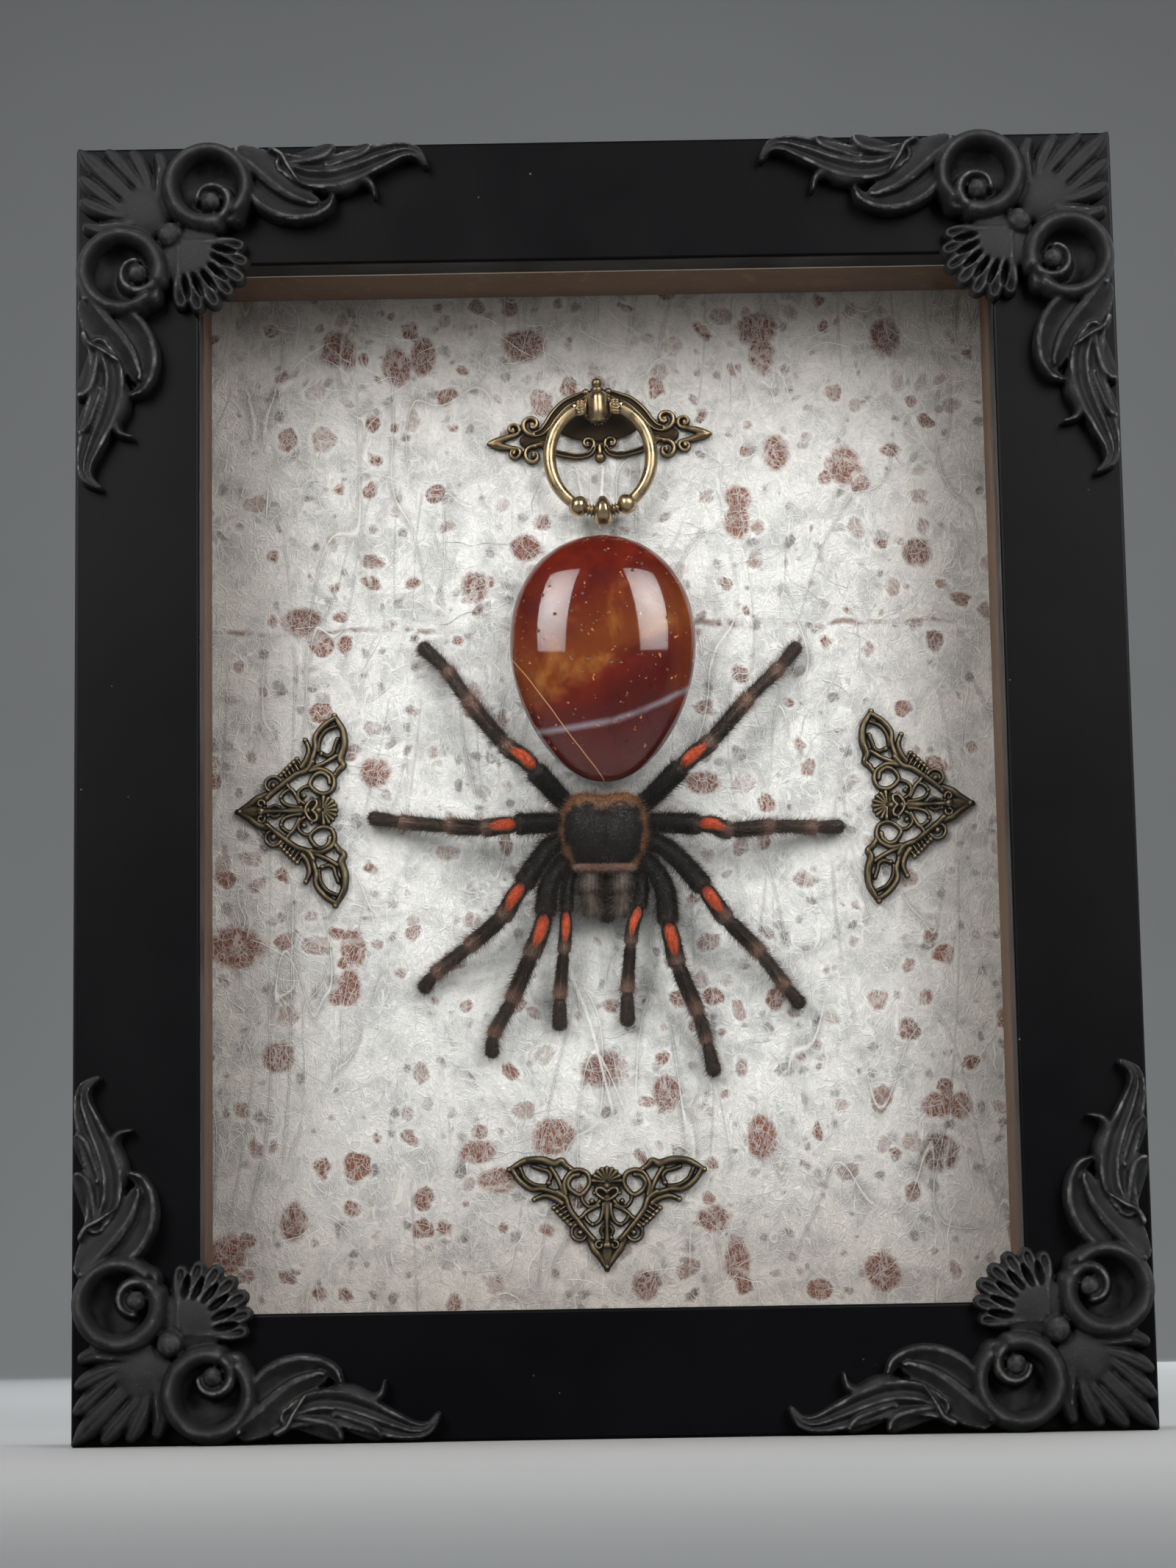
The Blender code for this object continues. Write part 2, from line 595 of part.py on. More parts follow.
def hoop_radius(angle):
    """Half thickness at an angle from straight up: the hoop's own taper and its turned bulges."""
    radius = 1.2 + 0.5 * math.sin(math.radians(min(angle, 150.0)))
    for middle, spread, size in BULGES:
        offset = abs(angle - middle) / spread
        if offset < 1.0:
            radius = max(radius, size * math.sqrt(1.0 - offset**2))
    return radius


def ring_path():
    """Points of the ring's left half, from its pin to straight below, then the right half."""
    half = [(1.0, 0.0, PIN_RADIUS), (3.0, 0.0, PIN_RADIUS), (3.2, 0.0, 1.5), (4.4, -0.1, 1.7)]
    angles = [26, 30, 38, 50, 65, 80, 95, 110, 125, 138, 143, 146, 151, 156, 159, 162, 164, 166]
    angles += [171.5, 173, 176, 180]
    for angle in angles:
        turn = math.radians(angle)
        across = HOOP_ACROSS * math.sin(turn)
        up = -HOOP_DOWN + HOOP_HIGH * math.cos(turn)
        half.append((across, up, hoop_radius(angle)))
    path = [(-across, up, radius) for across, up, radius in half]
    path += [(across, up, radius) for across, up, radius in half[-2::-1]]
    return [(across * MM, 0.0, up * MM, radius * MM) for across, up, radius in path]


lean = Matrix.Rotation(-PULL_LEAN, 4, "Y")
pull_middle = Vector((PULL_AT[0] * MM, PAPER_Y, PULL_AT[1] * MM))
pivot_at = pull_middle + lean @ Vector((0.0, -PIVOT_HEIGHT * MM, PIVOT_UP * MM))
ring = place("pull_ring", tube_mesh(ring_path(), 2), ANTIQUE_BRASS)
ring.location = pivot_at
ring.rotation_euler = (0.0, -PULL_LEAN, 0.0)

# ---- the stone that takes the abdomen's place ----

STONE_TOP = 231.9
STONE_BOTTOM = 166.6
STONE_HALF_WIDTH = 24.2
STONE_HALF_THICKNESS = 9.6
STONE_TAPER = 0.14
STONE_BACK_SHARE = 0.92
STONE_ACROSS = 0.4

stone_shape = bmesh.new()
bmesh.ops.create_uvsphere(stone_shape, u_segments=20, v_segments=12, radius=1.0)
for vertex in stone_shape.verts:
    swell = 1.0 + STONE_TAPER * vertex.co.z
    flat = STONE_BACK_SHARE if vertex.co.y > 0 else 1.0
    vertex.co.x *= STONE_HALF_WIDTH * swell
    vertex.co.y *= STONE_HALF_THICKNESS * swell * flat
    vertex.co.z *= (STONE_TOP - STONE_BOTTOM) / 2
bmesh.ops.scale(stone_shape, vec=(MM, MM, MM), verts=stone_shape.verts)
stone_mesh = bpy.data.meshes.new("stone")
stone_shape.to_mesh(stone_mesh)
stone_shape.free()
stone = place("stone_abdomen", stone_mesh, CARNELIAN)
stone_lift = max(vertex.co.y for vertex in stone_mesh.vertices) + GAP
stone.location = (STONE_ACROSS * MM, PAPER_Y - stone_lift, (STONE_TOP + STONE_BOTTOM) / 2 * MM)

# ---- the spider: carapace, jaws, palps and legs, each closed out to the tips of its fur ----

CARAPACE_MIDDLE = (-0.2, 154.6, 7.4)
CARAPACE_HALF = (11.2, 5.6, 10.8)
CARAPACE_TAPER = 0.08

carapace_shape = bmesh.new()
bmesh.ops.create_uvsphere(carapace_shape, u_segments=18, v_segments=10, radius=MM)
for vertex in carapace_shape.verts:
    forward = -vertex.co.z / MM
    vertex.co.x *= CARAPACE_HALF[0] * (1.0 - CARAPACE_TAPER * forward)
    vertex.co.y *= CARAPACE_HALF[1]
    vertex.co.z *= CARAPACE_HALF[2]
carapace_mesh = bpy.data.meshes.new("carapace")
carapace_shape.to_mesh(carapace_mesh)
carapace_shape.free()
carapace = place("cephalothorax", carapace_mesh, BLACK_CUTICLE)
carapace.location = (CARAPACE_MIDDLE[0] * MM, PAPER_Y - CARAPACE_MIDDLE[2] * MM, CARAPACE_MIDDLE[1] * MM)


def add_limb(name, knots, steps, material):
    """A limb through (x, height in the frame, rise off the paper, radius) knots, body end first."""
    path = [
        (x * MM, PAPER_Y - rise * MM, up * MM, radius * MM)
        for x, up, rise, radius in smooth_path(knots, steps)
    ]
    place(name, tube_mesh(path, 1), material)


# Knots of a leg: body end, femur, the knee's near end, its orange patch, the knee's far end, the
# ends of the tibia and of the metatarsus, and the tip.
LEGS = {
    "leg_1_left": (
        (-11.6, 145.0, 8, 1.9), (-14.6, 139.8, 10, 2.4), (-15.6, 132.0, 12, 2.6),
        (-17.0, 127.0, 12, 2.5), (-19.4, 121.8, 11, 2.5), (-24.6, 110.6, 7, 2.2),
        (-29.4, 102.0, 4, 2.0), (-29.9, 96.3, 2.5, 1.8),
    ),
    "leg_1_right": (
        (12.6, 144.0, 8, 1.9), (15.3, 138.0, 10, 2.4), (15.9, 129.2, 12, 2.6),
        (16.9, 124.4, 12, 2.5), (18.2, 118.7, 11, 2.5), (23.1, 106.7, 7, 2.2),
        (25.4, 99.3, 4, 2.0), (27.4, 90.6, 2.5, 1.8),
    ),
    "leg_2_left": (
        (-14.6, 150.2, 7.6, 2.1), (-17.0, 146.4, 9, 2.6), (-21.1, 139.9, 12, 2.7),
        (-23.6, 136.6, 12, 2.5), (-26.7, 131.8, 11, 2.5), (-35.4, 124.8, 7, 2.2),
        (-44.4, 118.0, 4, 2.0), (-47.9, 113.5, 2.5, 1.8),
    ),
    "leg_2_right": (
        (15.2, 149.6, 7.6, 2.1), (18.6, 146.6, 9, 2.6), (25.3, 138.3, 12, 2.7),
        (27.3, 135.2, 12, 2.5), (31.0, 130.3, 11, 2.5), (39.5, 121.8, 7, 2.2),
        (46.0, 113.4, 4, 2.0), (50.4, 108.0, 2.5, 1.8),
    ),
    "leg_3_left": (
        (-13.6, 156.4, 7, 2.2), (-17.0, 156.2, 9.5, 2.6), (-22.6, 155.6, 12, 2.7),
        (-26.4, 155.3, 12, 2.5), (-31.0, 155.0, 11, 2.5), (-40.5, 156.1, 7, 2.2),
        (-53.0, 157.9, 4, 2.0), (-61.3, 159.4, 2.5, 1.8),
    ),
    "leg_3_right": (
        (14.0, 156.0, 7, 2.2), (18.0, 155.6, 9.5, 2.6), (24.4, 154.9, 12, 2.7),
        (27.8, 154.7, 12, 2.5), (32.3, 153.3, 11, 2.5), (43.2, 154.6, 7, 2.2),
        (54.9, 154.7, 4, 2.0), (62.3, 154.9, 2.5, 1.8),
    ),
    "leg_4_left": (
        (-11.8, 163.4, 6.4, 2.1), (-14.2, 166.0, 9.5, 2.5), (-17.6, 169.6, 12, 2.6),
        (-20.6, 173.0, 12, 2.5), (-25.4, 176.7, 11, 2.5), (-35.1, 189.4, 7, 2.2),
        (-40.7, 197.9, 4, 2.0), (-47.6, 204.9, 2.5, 1.8),
    ),
    "leg_4_right": (
        (12.6, 163.0, 6.4, 2.1), (15.4, 165.6, 9.5, 2.5), (20.0, 169.8, 12, 2.6),
        (23.4, 173.0, 12, 2.5), (28.0, 176.7, 11, 2.5), (38.2, 188.6, 7, 2.2),
        (46.6, 197.1, 4, 2.0), (51.8, 203.5, 2.5, 1.8),
    ),
}
for name, knots in LEGS.items():
    add_limb(name, knots, 2, BLACK_CUTICLE)

PALPS = {
    "palp_left": (
        (-9.4, 142.6, 6.4, 1.4), (-10.3, 134.8, 8, 1.9), (-10.4, 126.9, 9, 2.0),
        (-11.3, 118.3, 7.5, 2.0), (-12.2, 110.2, 4.5, 2.0), (-12.4, 103.0, 2.5, 1.7),
    ),
    "palp_right": (
        (9.4, 142.2, 6.4, 1.4), (8.9, 135.2, 8, 1.9), (6.8, 128.4, 9, 2.0),
        (5.7, 120.6, 7.5, 2.0), (5.2, 111.6, 4.5, 2.0), (5.1, 103.9, 2.5, 1.7),
    ),
}
for name, knots in PALPS.items():
    add_limb(name, knots, 2, BLACK_CUTICLE)

CHELICERAE = {
    "chelicera_left": (
        (-4.3, 142.9, 8, 2.6), (-4.4, 140.5, 8.6, 3.3), (-3.9, 135.8, 8, 3.2),
        (-3.6, 132.9, 6.8, 1.8),
    ),
    "chelicera_right": (
        (4.1, 142.7, 8, 2.6), (4.3, 140.3, 8.6, 3.3), (4.2, 136.2, 8, 3.2),
        (4.1, 133.2, 6.8, 1.8),
    ),
}
for name, knots in CHELICERAE.items():
    add_limb(name, knots, 2, BRISTLE_GREY)
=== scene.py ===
"""A dried red-kneed tarantula in a black shadow-box frame, with a polished carnelian for its
abdomen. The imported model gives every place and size; each section below finishes one piece or
group of like pieces, from the frame inwards to the spider's fur."""
import json
import math

import bmesh
import bpy
import numpy as np
from mathutils import Matrix, Vector

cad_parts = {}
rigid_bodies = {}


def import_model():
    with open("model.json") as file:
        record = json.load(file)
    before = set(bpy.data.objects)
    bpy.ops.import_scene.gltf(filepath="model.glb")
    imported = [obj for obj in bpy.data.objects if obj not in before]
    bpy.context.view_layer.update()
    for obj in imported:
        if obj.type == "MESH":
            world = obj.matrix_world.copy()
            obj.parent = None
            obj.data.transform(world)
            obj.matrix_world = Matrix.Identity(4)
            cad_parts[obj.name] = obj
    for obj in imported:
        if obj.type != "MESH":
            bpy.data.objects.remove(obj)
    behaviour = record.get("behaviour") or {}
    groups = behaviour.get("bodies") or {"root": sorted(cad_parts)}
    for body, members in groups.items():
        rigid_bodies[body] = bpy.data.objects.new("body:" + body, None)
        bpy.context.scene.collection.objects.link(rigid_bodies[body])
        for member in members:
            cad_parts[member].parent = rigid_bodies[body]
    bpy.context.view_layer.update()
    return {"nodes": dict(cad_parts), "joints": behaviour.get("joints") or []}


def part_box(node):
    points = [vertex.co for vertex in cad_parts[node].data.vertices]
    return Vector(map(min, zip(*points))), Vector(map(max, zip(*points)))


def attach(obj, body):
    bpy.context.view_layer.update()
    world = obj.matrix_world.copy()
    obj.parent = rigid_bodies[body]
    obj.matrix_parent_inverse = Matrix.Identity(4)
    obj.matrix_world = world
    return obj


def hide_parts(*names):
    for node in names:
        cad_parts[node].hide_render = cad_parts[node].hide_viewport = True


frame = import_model()
nodes = frame["nodes"]
MM = 0.001

# ---- the studio ----
# The frame stands on a pale sweep. Two tall softboxes in front, left and right, light it evenly
# and give the stone its pair of long reflections; a dim grey room fills the shadows.

face_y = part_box("rail_top")[0].y
room = bpy.data.worlds.new("dim grey room")
room.use_nodes = True
room.node_tree.nodes["Background"].inputs["Color"].default_value = (0.86, 0.93, 1.0, 1.0)
room.node_tree.nodes["Background"].inputs["Strength"].default_value = 0.035
bpy.context.scene.world = room
bpy.context.scene.view_settings.view_transform = "Standard"


def put(name, data):
    """Put a light, camera or mesh in the scene."""
    made = bpy.data.objects.new(name, data)
    bpy.context.scene.collection.objects.link(made)
    return made


def add_light(name, middle, target, width, height, power, colour=(0.93, 0.97, 1.0), spread=180.0, glossy=True):
    light = bpy.data.lights.new(name, "AREA")
    light.spread = math.radians(spread)
    light.shape = "RECTANGLE"
    light.size, light.size_y, light.energy, light.color = width, height, power, colour
    placed = put(name, light)
    placed.location = middle
    placed.rotation_euler = (Vector(target) - Vector(middle)).to_track_quat("-Z", "Y").to_euler()
    placed.visible_glossy = glossy


specimen_middle = (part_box("stone_abdomen")[0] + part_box("stone_abdomen")[1]) / 2
SOFTBOX_DISTANCE = 0.9
SOFTBOX_SPREAD = 56.0
SOFTBOX_TURN = math.radians(32)
SOFTBOX_LIFT = math.radians(25)
for side, name in ((-1, "softbox_left"), (1, "softbox_right")):
    reach = Vector((
        side * math.sin(SOFTBOX_TURN) * math.cos(SOFTBOX_LIFT),
        -math.cos(SOFTBOX_TURN) * math.cos(SOFTBOX_LIFT),
        math.sin(SOFTBOX_LIFT),
    ))
    middle = specimen_middle + SOFTBOX_DISTANCE * reach
    add_light(name, middle, specimen_middle, 0.38, 0.62, 0.64, (1.0, 0.97, 0.95), SOFTBOX_SPREAD)
add_light("overhead_fill", (0.0, 0.7, 1.9), (0.0, 0.9, 0.0), 1.8, 1.8, 24.0, glossy=False)
add_light("front_fill", (0.0, -1.3, 0.6), (0.0, 0.0, 0.16), 1.6, 1.2, 0.4, glossy=False)
# Behind the frame, three panels give its back and sides some sheen.
add_light("rear_fill", (0.3, 1.6, 0.7), (0.0, 0.0, 0.15), 1.2, 1.4, 6.0)
for side in (-1, 1):
    add_light("side_fill", (side * 1.6, 0.75, 0.6), (0.0, 0.0, 0.15), 0.9, 1.4, 7.0)


def grid_mesh(name, spots, faces):
    mesh = bpy.data.meshes.new(name)
    mesh.from_pydata([tuple(spot) for spot in spots], [], faces)
    return mesh


SWEEP_HALF = 4.0
SWEEP_BACK = 3.0
SWEEP_CURVE = 0.8
profile = [(-SWEEP_HALF, 0.0), (SWEEP_BACK - SWEEP_CURVE, 0.0)]
for step in range(1, 13):
    angle = math.radians(90 * step / 12)
    profile.append((SWEEP_BACK - SWEEP_CURVE + SWEEP_CURVE * math.sin(angle), SWEEP_CURVE * (1 - math.cos(angle))))
profile.append((SWEEP_BACK, 3.2))
sweep_spots = [(across, y, z) for across in (-SWEEP_HALF, SWEEP_HALF) for y, z in profile]
length = len(profile)
sweep_mesh = grid_mesh("pale_sweep", sweep_spots,
                       [(i, length + i, length + i + 1, i + 1) for i in range(length - 1)])
sweep_mesh.shade_smooth()
sweep = put("pale_sweep", sweep_mesh)

# The camera is a long lens a little above the floor, tipped up at the frame and a touch askew.
CAMERA_BACK = 913.4 * MM
camera_data = bpy.data.cameras.new("viewer")
camera_data.lens = 84.35
camera_data.sensor_width = 36.0
camera_data.clip_start = 0.01
camera = put("viewer", camera_data)
tip = Matrix.Rotation(math.radians(0.95), 3, "Z") @ Matrix.Rotation(math.radians(-8.56), 3, "X")
tip = tip @ Matrix.Rotation(math.radians(-0.12), 3, "Y")
upright = Matrix(((1, 0, 0), (0, 0, 1), (0, -1, 0)))
stand = Vector((-2.1 * MM, face_y - CAMERA_BACK, 24.8 * MM))
camera.matrix_world = Matrix.Translation(stand) @ (tip @ upright).transposed().to_4x4()
bpy.context.scene.camera = camera

# ---- the four rails ----
# Mitred wooden mouldings under satin black paint, sprayed thin enough to show a little of the
# grain. The edges are eased, and a few specks of dust sit on the faces.


class Value:
    """An output of a node in the tree being built. Sums and products of values add maths nodes,
    and an index picks another output of the same node."""

    def __init__(self, socket):
        self.socket = socket

    def __getitem__(self, key):
        return Value(self.socket.node.outputs[key])

    def __add__(self, other):
        return calc("ADD", self, other)

    def __sub__(self, other):
        return calc("SUBTRACT", self, other)

    def __rsub__(self, other):
        return calc("SUBTRACT", other, self)

    def __mul__(self, other):
        return calc("MULTIPLY", self, other)

    def __abs__(self):
        return calc("ABSOLUTE", self)


def feed(made, inputs):
    """Set or link a node's sockets, by name or number."""
    for key, value in inputs.items():
        if isinstance(value, Value):
            tree.links.new(value.socket, made.inputs[key])
        else:
            made.inputs[key].default_value = value


def node(kind, inputs=None, **settings):
    """Add a node to the tree being built, and return its first output."""
    made = tree.nodes.new(kind)
    for setting, value in settings.items():
        setattr(made, setting, value)
    feed(made, inputs or {})
    return Value(made.outputs[0])


def calc(operation, *numbers, clamp=False):
    return node("ShaderNodeMath", dict(enumerate(numbers)), operation=operation, use_clamp=clamp)


def vector(operation, first, second):
    other = "Scale" if operation == "SCALE" else 1
    return node("ShaderNodeVectorMath", {0: first, other: second}, operation=operation)


def axes(spot):
    """The parts of a position, to be picked by "X", "Y" and "Z"."""
    return node("ShaderNodeSeparateXYZ", {0: spot})


def fade(value, low, high, start=0.0, end=1.0):
    """Turn value smoothly from start at low to end at high."""
    inputs = {"Value": value, "From Min": low, "From Max": high, "To Min": start, "To Max": end}
    return node("ShaderNodeMapRange", inputs, interpolation_type="SMOOTHSTEP")


def blend(share, first, second, mode="MIX"):
    first, second = (value if isinstance(value, Value) else (*value, 1.0) for value in (first, second))
    return node("ShaderNodeMix", {0: share, 6: first, 7: second}, data_type="RGBA", blend_type=mode)[2]


def noise(spot, scale, detail=3.0, roughness=0.55, distortion=0.0, output="Fac"):
    inputs = {"Vector": spot, "Scale": scale, "Detail": detail, "Roughness": roughness, "Distortion": distortion}
    return node("ShaderNodeTexNoise", inputs)[output]


def cells(spot, scale, output="Distance", randomness=1.0, feature="F1"):
    inputs = {"Vector": spot, "Scale": scale, "Randomness": randomness}
    return node("ShaderNodeTexVoronoi", inputs, feature=feature)[output]


def stretched(spot, scale, turn=(0.0, 0.0, 0.0)):
    """Coordinates squeezed along some axes, for grain, brushing and fibres."""
    return node("ShaderNodeMapping", {"Vector": spot, "Scale": scale, "Rotation": turn})


def start_material(name):
    """Start a material, whose tree, shader and object coordinates the next lines work on."""
    global tree, shader, place
    made = bpy.data.materials.new(name)
    made.use_nodes = True
    tree = made.node_tree
    shader = tree.nodes["Principled BSDF"]
    place = node("ShaderNodeTexCoord")["Object"]
    return made


def wear(inputs):
    feed(shader, inputs)


def bump(height, strength, depth):
    return node("ShaderNodeBump", {"Height": height, "Strength": strength, "Distance": depth})


pale_card = start_material("pale_card")
mottle = noise(place, 3.0, 3.0)
wear({
    "Base Color": blend(mottle, (0.52, 0.52, 0.515), (0.58, 0.58, 0.575)),
    "Roughness": 0.9,
    "Specular IOR Level": 0.1,
})
sweep_mesh.materials.append(pale_card)
sweep.visible_glossy = False


def black_satin_paint(name, along):
    """Along is the axis number of the rail's length, which its grain follows."""
    made = start_material(name)
    squeeze = [420.0, 420.0, 420.0]
    squeeze[along] = 9.0
    grain = noise(stretched(place, squeeze), 1.0, 4.0)
    peel = noise(place, 1500.0, 2.0)
    cloud = noise(place, 28.0, 3.0)
    dust = cells(place, 210.0)
    rare = noise(place, 75.0, 1.0)
    speck = fade(dust, 0.035, 0.075, 1.0, 0.0) * fade(rare, 0.6, 0.66)
    paint = blend(cloud, (0.0018, 0.0019, 0.0028), (0.0026, 0.0027, 0.004))
    height = grain * 0.5 + peel * 0.25
    wear({
        "Base Color": blend(speck, paint, (0.16, 0.16, 0.16)),
        "Roughness": fade(cloud + speck * 0.5, 0.2, 1.0, 0.32, 0.44),
        "Specular IOR Level": 0.16,
        "Coat Weight": 0.06,
        "Coat Roughness": 0.14,
        "Normal": bump(height, 0.35, 0.00006),
    })
    return made


def refinish(material, *names):
    """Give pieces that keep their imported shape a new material."""
    for name in names:
        for material_slot in nodes[name].material_slots:
            material_slot.material = material


refinish(black_satin_paint("black_satin_paint_across", 0), "rail_top", "rail_bottom")
refinish(black_satin_paint("black_satin_paint_upright", 2), "rail_left", "rail_right")

# ---- the glass ----
# One clear pane of 2 mm picture glass that drops into the rabbet behind the lip.

clear_glass = start_material("clear_glass")
wear({
    "Base Color": (0.97, 0.985, 0.98, 1.0),
    "Roughness": 0.0,
    "IOR": 1.5,
    "Transmission Weight": 1.0,
})
refinish(clear_glass, "glass")
nodes["glass"].visible_shadow = False

# ---- the four spacers ----
# Strips of dark-faced board that stand on edge between glass and paper. Their brown face shows
# inside the box, and their cut front edge is a thin cream line next to the glass.

spacer_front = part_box("spacer_top")[0].y
brown_board = start_material("brown_spacer_board")
fibre = noise(stretched(place, (60.0, 900.0, 60.0)), 1.0, 4.0, 0.6)
scuff = noise(place, 260.0, 4.0, 0.6)
tone = blend(fibre, (0.085, 0.045, 0.024), (0.19, 0.112, 0.066))
tone = blend(fade(scuff, 0.55, 0.8), tone, (0.22, 0.145, 0.095))
depth = axes(place)["Y"] - spacer_front
wear({
    "Base Color": blend(fade(depth, 0.0007, 0.0009, 1.0, 0.0), tone, (0.74, 0.70, 0.62)),
    "Roughness": fade(fibre, 0.2, 0.8, 0.55, 0.75),
    "Normal": bump(fibre, 0.4, 0.0001),
})
refinish(brown_board, "spacer_left", "spacer_right", "spacer_top", "spacer_bottom")

# ---- the backing board ----
# Brown hardboard, smooth and oil-dark with pale fibre flecks, pushed in behind the paper.

hardboard = start_material("hardboard")
fleck = noise(stretched(place, (500.0, 500.0, 500.0)), 1.0, 5.0, 0.7)
mottle = noise(place, 45.0, 4.0)
straw = noise(stretched(place, (1400.0, 400.0, 260.0), (0.0, 0.6, 0.0)), 1.0, 2.0)
tone = blend(mottle, (0.17, 0.095, 0.045), (0.27, 0.165, 0.085))
tone = blend(fade(straw, 0.62, 0.72), tone, (0.42, 0.30, 0.18))
tone = blend(fade(fleck, 0.3, 0.42, 1.0, 0.0), tone, (0.07, 0.038, 0.02))
wear({
    "Base Color": tone,
    "Roughness": fade(mottle, 0.3, 0.7, 0.5, 0.68),
    "Normal": bump(fleck, 0.5, 0.00012),
})
refinish(hardboard, "backing_board")

# ---- the tabs, the sawtooth hanger and its nails ----
# Zinc-plated steel: flat points driven into the rabbet to hold the board, and a stamped hanger
# on two domed nails. The zinc is faintly spangled, scratched and duller where it has aged.

zinc_steel = start_material("zinc_plated_steel")
spangle = cells(place, 900.0, "Color")
scratch = noise(stretched(place, (4000.0, 4000.0, 160.0), (0.0, 0.5, 0.0)), 1.0, 2.0)
dull = noise(place, 180.0, 4.0)
tone = blend(dull, (0.52, 0.53, 0.54), (0.74, 0.74, 0.72))
wear({
    "Base Color": blend(0.12, tone, spangle, "SOFT_LIGHT"),
    "Metallic": 1.0,
    "Roughness": fade(scratch * 0.4 + dull, 0.3, 1.2, 0.22, 0.5),
    "Normal": bump(scratch, 0.25, 0.00004),
})
steel_tabs = [f"tab_{where}" for where in ("top", "bottom", "left_lower", "left_upper", "right_lower", "right_upper")]
refinish(zinc_steel, "sawtooth_hanger", "hanger_nail_left", "hanger_nail_right", *steel_tabs)

# ---- the lace paper ----
# A sheet of handmade fibre paper, glued to the board: a white web of long swirling fibres, with
# round thin places where a rust or grey ground shows through, and ridges where it was crumpled.


def smooth_path(knots, steps):
    """Catmull-Rom points through knots of any length, so sizes are smoothed with positions."""
    ends = [knots[0]] + list(knots) + [knots[-1]]
    path = []
    for before, start, end, after in zip(ends, ends[1:], ends[2:], ends[3:]):
        p, q, r, s = (np.array(knot, float) for knot in (before, start, end, after))
        for step in range(steps):
            t = step / steps
            path.append(0.5 * (2 * q + (r - p) * t + (2 * p - 5 * q + 4 * r - s) * t**2
                               + (3 * q - p - 3 * r + s) * t**3))
    path.append(np.array(knots[-1], float))
    return np.array(path)


def flat_field(low, high, cell):
    """A grid over a rectangle, in mm: across and down at each point, and a height to carve."""
    across = np.arange(low[0], high[0] + cell / 2, cell)
    down = np.arange(low[1], high[1] + cell / 2, cell)
    across, down = np.meshgrid(across, down, indexing="ij")
    return {"across": across, "down": down, "height": np.full(across.shape, -1.0), "cell": cell}


def lay_stroke(field, knots, section, steps=8, wall=9.0):
    """Raise a ridge along (across, down, half width, top) knots. Section gives the share of the
    top at v, from -1 on the right of the way to 1 on the left; past its edge the side drops away."""
    path = smooth_path(knots, steps)
    margin = path[:, 2].max() + 3 * field["cell"]
    first = np.maximum(((path[:, :2].min(0) - margin - (field["across"][0, 0], field["down"][0, 0]))
                        / field["cell"]).astype(int), 0)
    last = ((path[:, :2].max(0) + margin - (field["across"][0, 0], field["down"][0, 0]))
            / field["cell"]).astype(int) + 1
    window = (slice(first[0], last[0]), slice(first[1], last[1]))
    across = field["across"][window]
    down = field["down"][window]
    nearest = np.full(across.shape, 1e9)
    offset = np.zeros(across.shape)
    half = np.ones(across.shape)
    top = np.zeros(across.shape)
    way = np.zeros(across.shape)
    for index, (start, end) in enumerate(zip(path[:-1], path[1:])):
        run = end[:2] - start[:2]
        length = max(np.hypot(*run), 1e-9)
        t = np.clip(((across - start[0]) * run[0] + (down - start[1]) * run[1]) / length**2, 0.0, 1.0)
        da = across - start[0] - t * run[0]
        db = down - start[1] - t * run[1]
        distance = np.hypot(da, db)
        radius = start[2] + t * (end[2] - start[2])
        closer = distance / radius < nearest
        nearest = np.where(closer, distance / radius, nearest)
        sign = np.where(run[0] * db - run[1] * da > 0, 1.0, -1.0)
        offset = np.where(closer, sign * distance, offset)
        half = np.where(closer, radius, half)
        top = np.where(closer, start[3] + t * (end[3] - start[3]), top)
        way = np.where(closer, (index + t) / (len(path) - 1), way)
    side = np.clip(offset / half, -1.0, 1.0)
    raised = top * section(side, way) - np.maximum(np.abs(offset) - half, 0.0) * wall
    field["height"][window] = np.maximum(field["height"][window], np.maximum(raised, -1.0))


def crest(side, way):
    """A plain rounded ridge with a steep foot."""
    return 0.4 + 0.6 * np.sqrt(1.0 - side**2 * 0.98)


def grid_faces(rows, columns):
    """Quads of a rows by columns grid, wound to face -Y when rows run +X and columns run -Z."""
    corner = (np.arange(rows - 1)[:, None] * columns + np.arange(columns - 1)[None, :]).ravel()
    return np.stack([corner, corner + 1, corner + columns + 1, corner + columns], 1).tolist()


def rework(mesh, work=lambda shape: None):
    """Open a mesh, do the work on it, turn its faces outwards and store it back."""
    shape = bmesh.new()
    shape.from_mesh(mesh)
    work(shape)
    bmesh.ops.recalc_face_normals(shape, faces=shape.faces)
    shape.to_mesh(mesh)
    shape.free()
    return mesh


def pinch(side, way):
    """A crease with a sharp top."""
    return (1 - np.abs(side)) ** 1.2


paper_low, paper_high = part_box("backing_paper")
PAPER_CELL = 0.95
random = np.random.default_rng(11)
wide = (paper_high.x - paper_low.x) / MM
tall = (paper_high.z - paper_low.z) / MM
sheet = flat_field((0.0, 0.0), (wide, tall), PAPER_CELL)
sheet["height"][:] = 0.0
for crease in range(120):
    # Most of the crumpling is along the sheet's left and top, where it was drawn over the edge.
    start = np.array([wide * random.random() ** 1.4, tall * random.random() ** 1.2])
    heading = math.radians(random.uniform(60, 175))
    knots = []
    for step in range(random.integers(4, 8)):
        size = random.uniform(0.8, 1.5)
        knots.append((*start, size, random.uniform(0.15, 0.55)))
        heading += random.normal(0.0, 0.45)
        start = start + random.uniform(4.0, 12.0) * np.array([math.cos(heading), math.sin(heading)])
    knots[0] = (*knots[0][:3], 0.0)
    knots[-1] = (*knots[-1][:3], 0.0)
    if all(4 < knot[0] < wide - 4 and 4 < knot[1] < tall - 4 for knot in knots):
        lay_stroke(sheet, knots, pinch, 5, 0.0)
FOLD_DOWN = tall - (209.0 * MM - paper_low.z) / MM
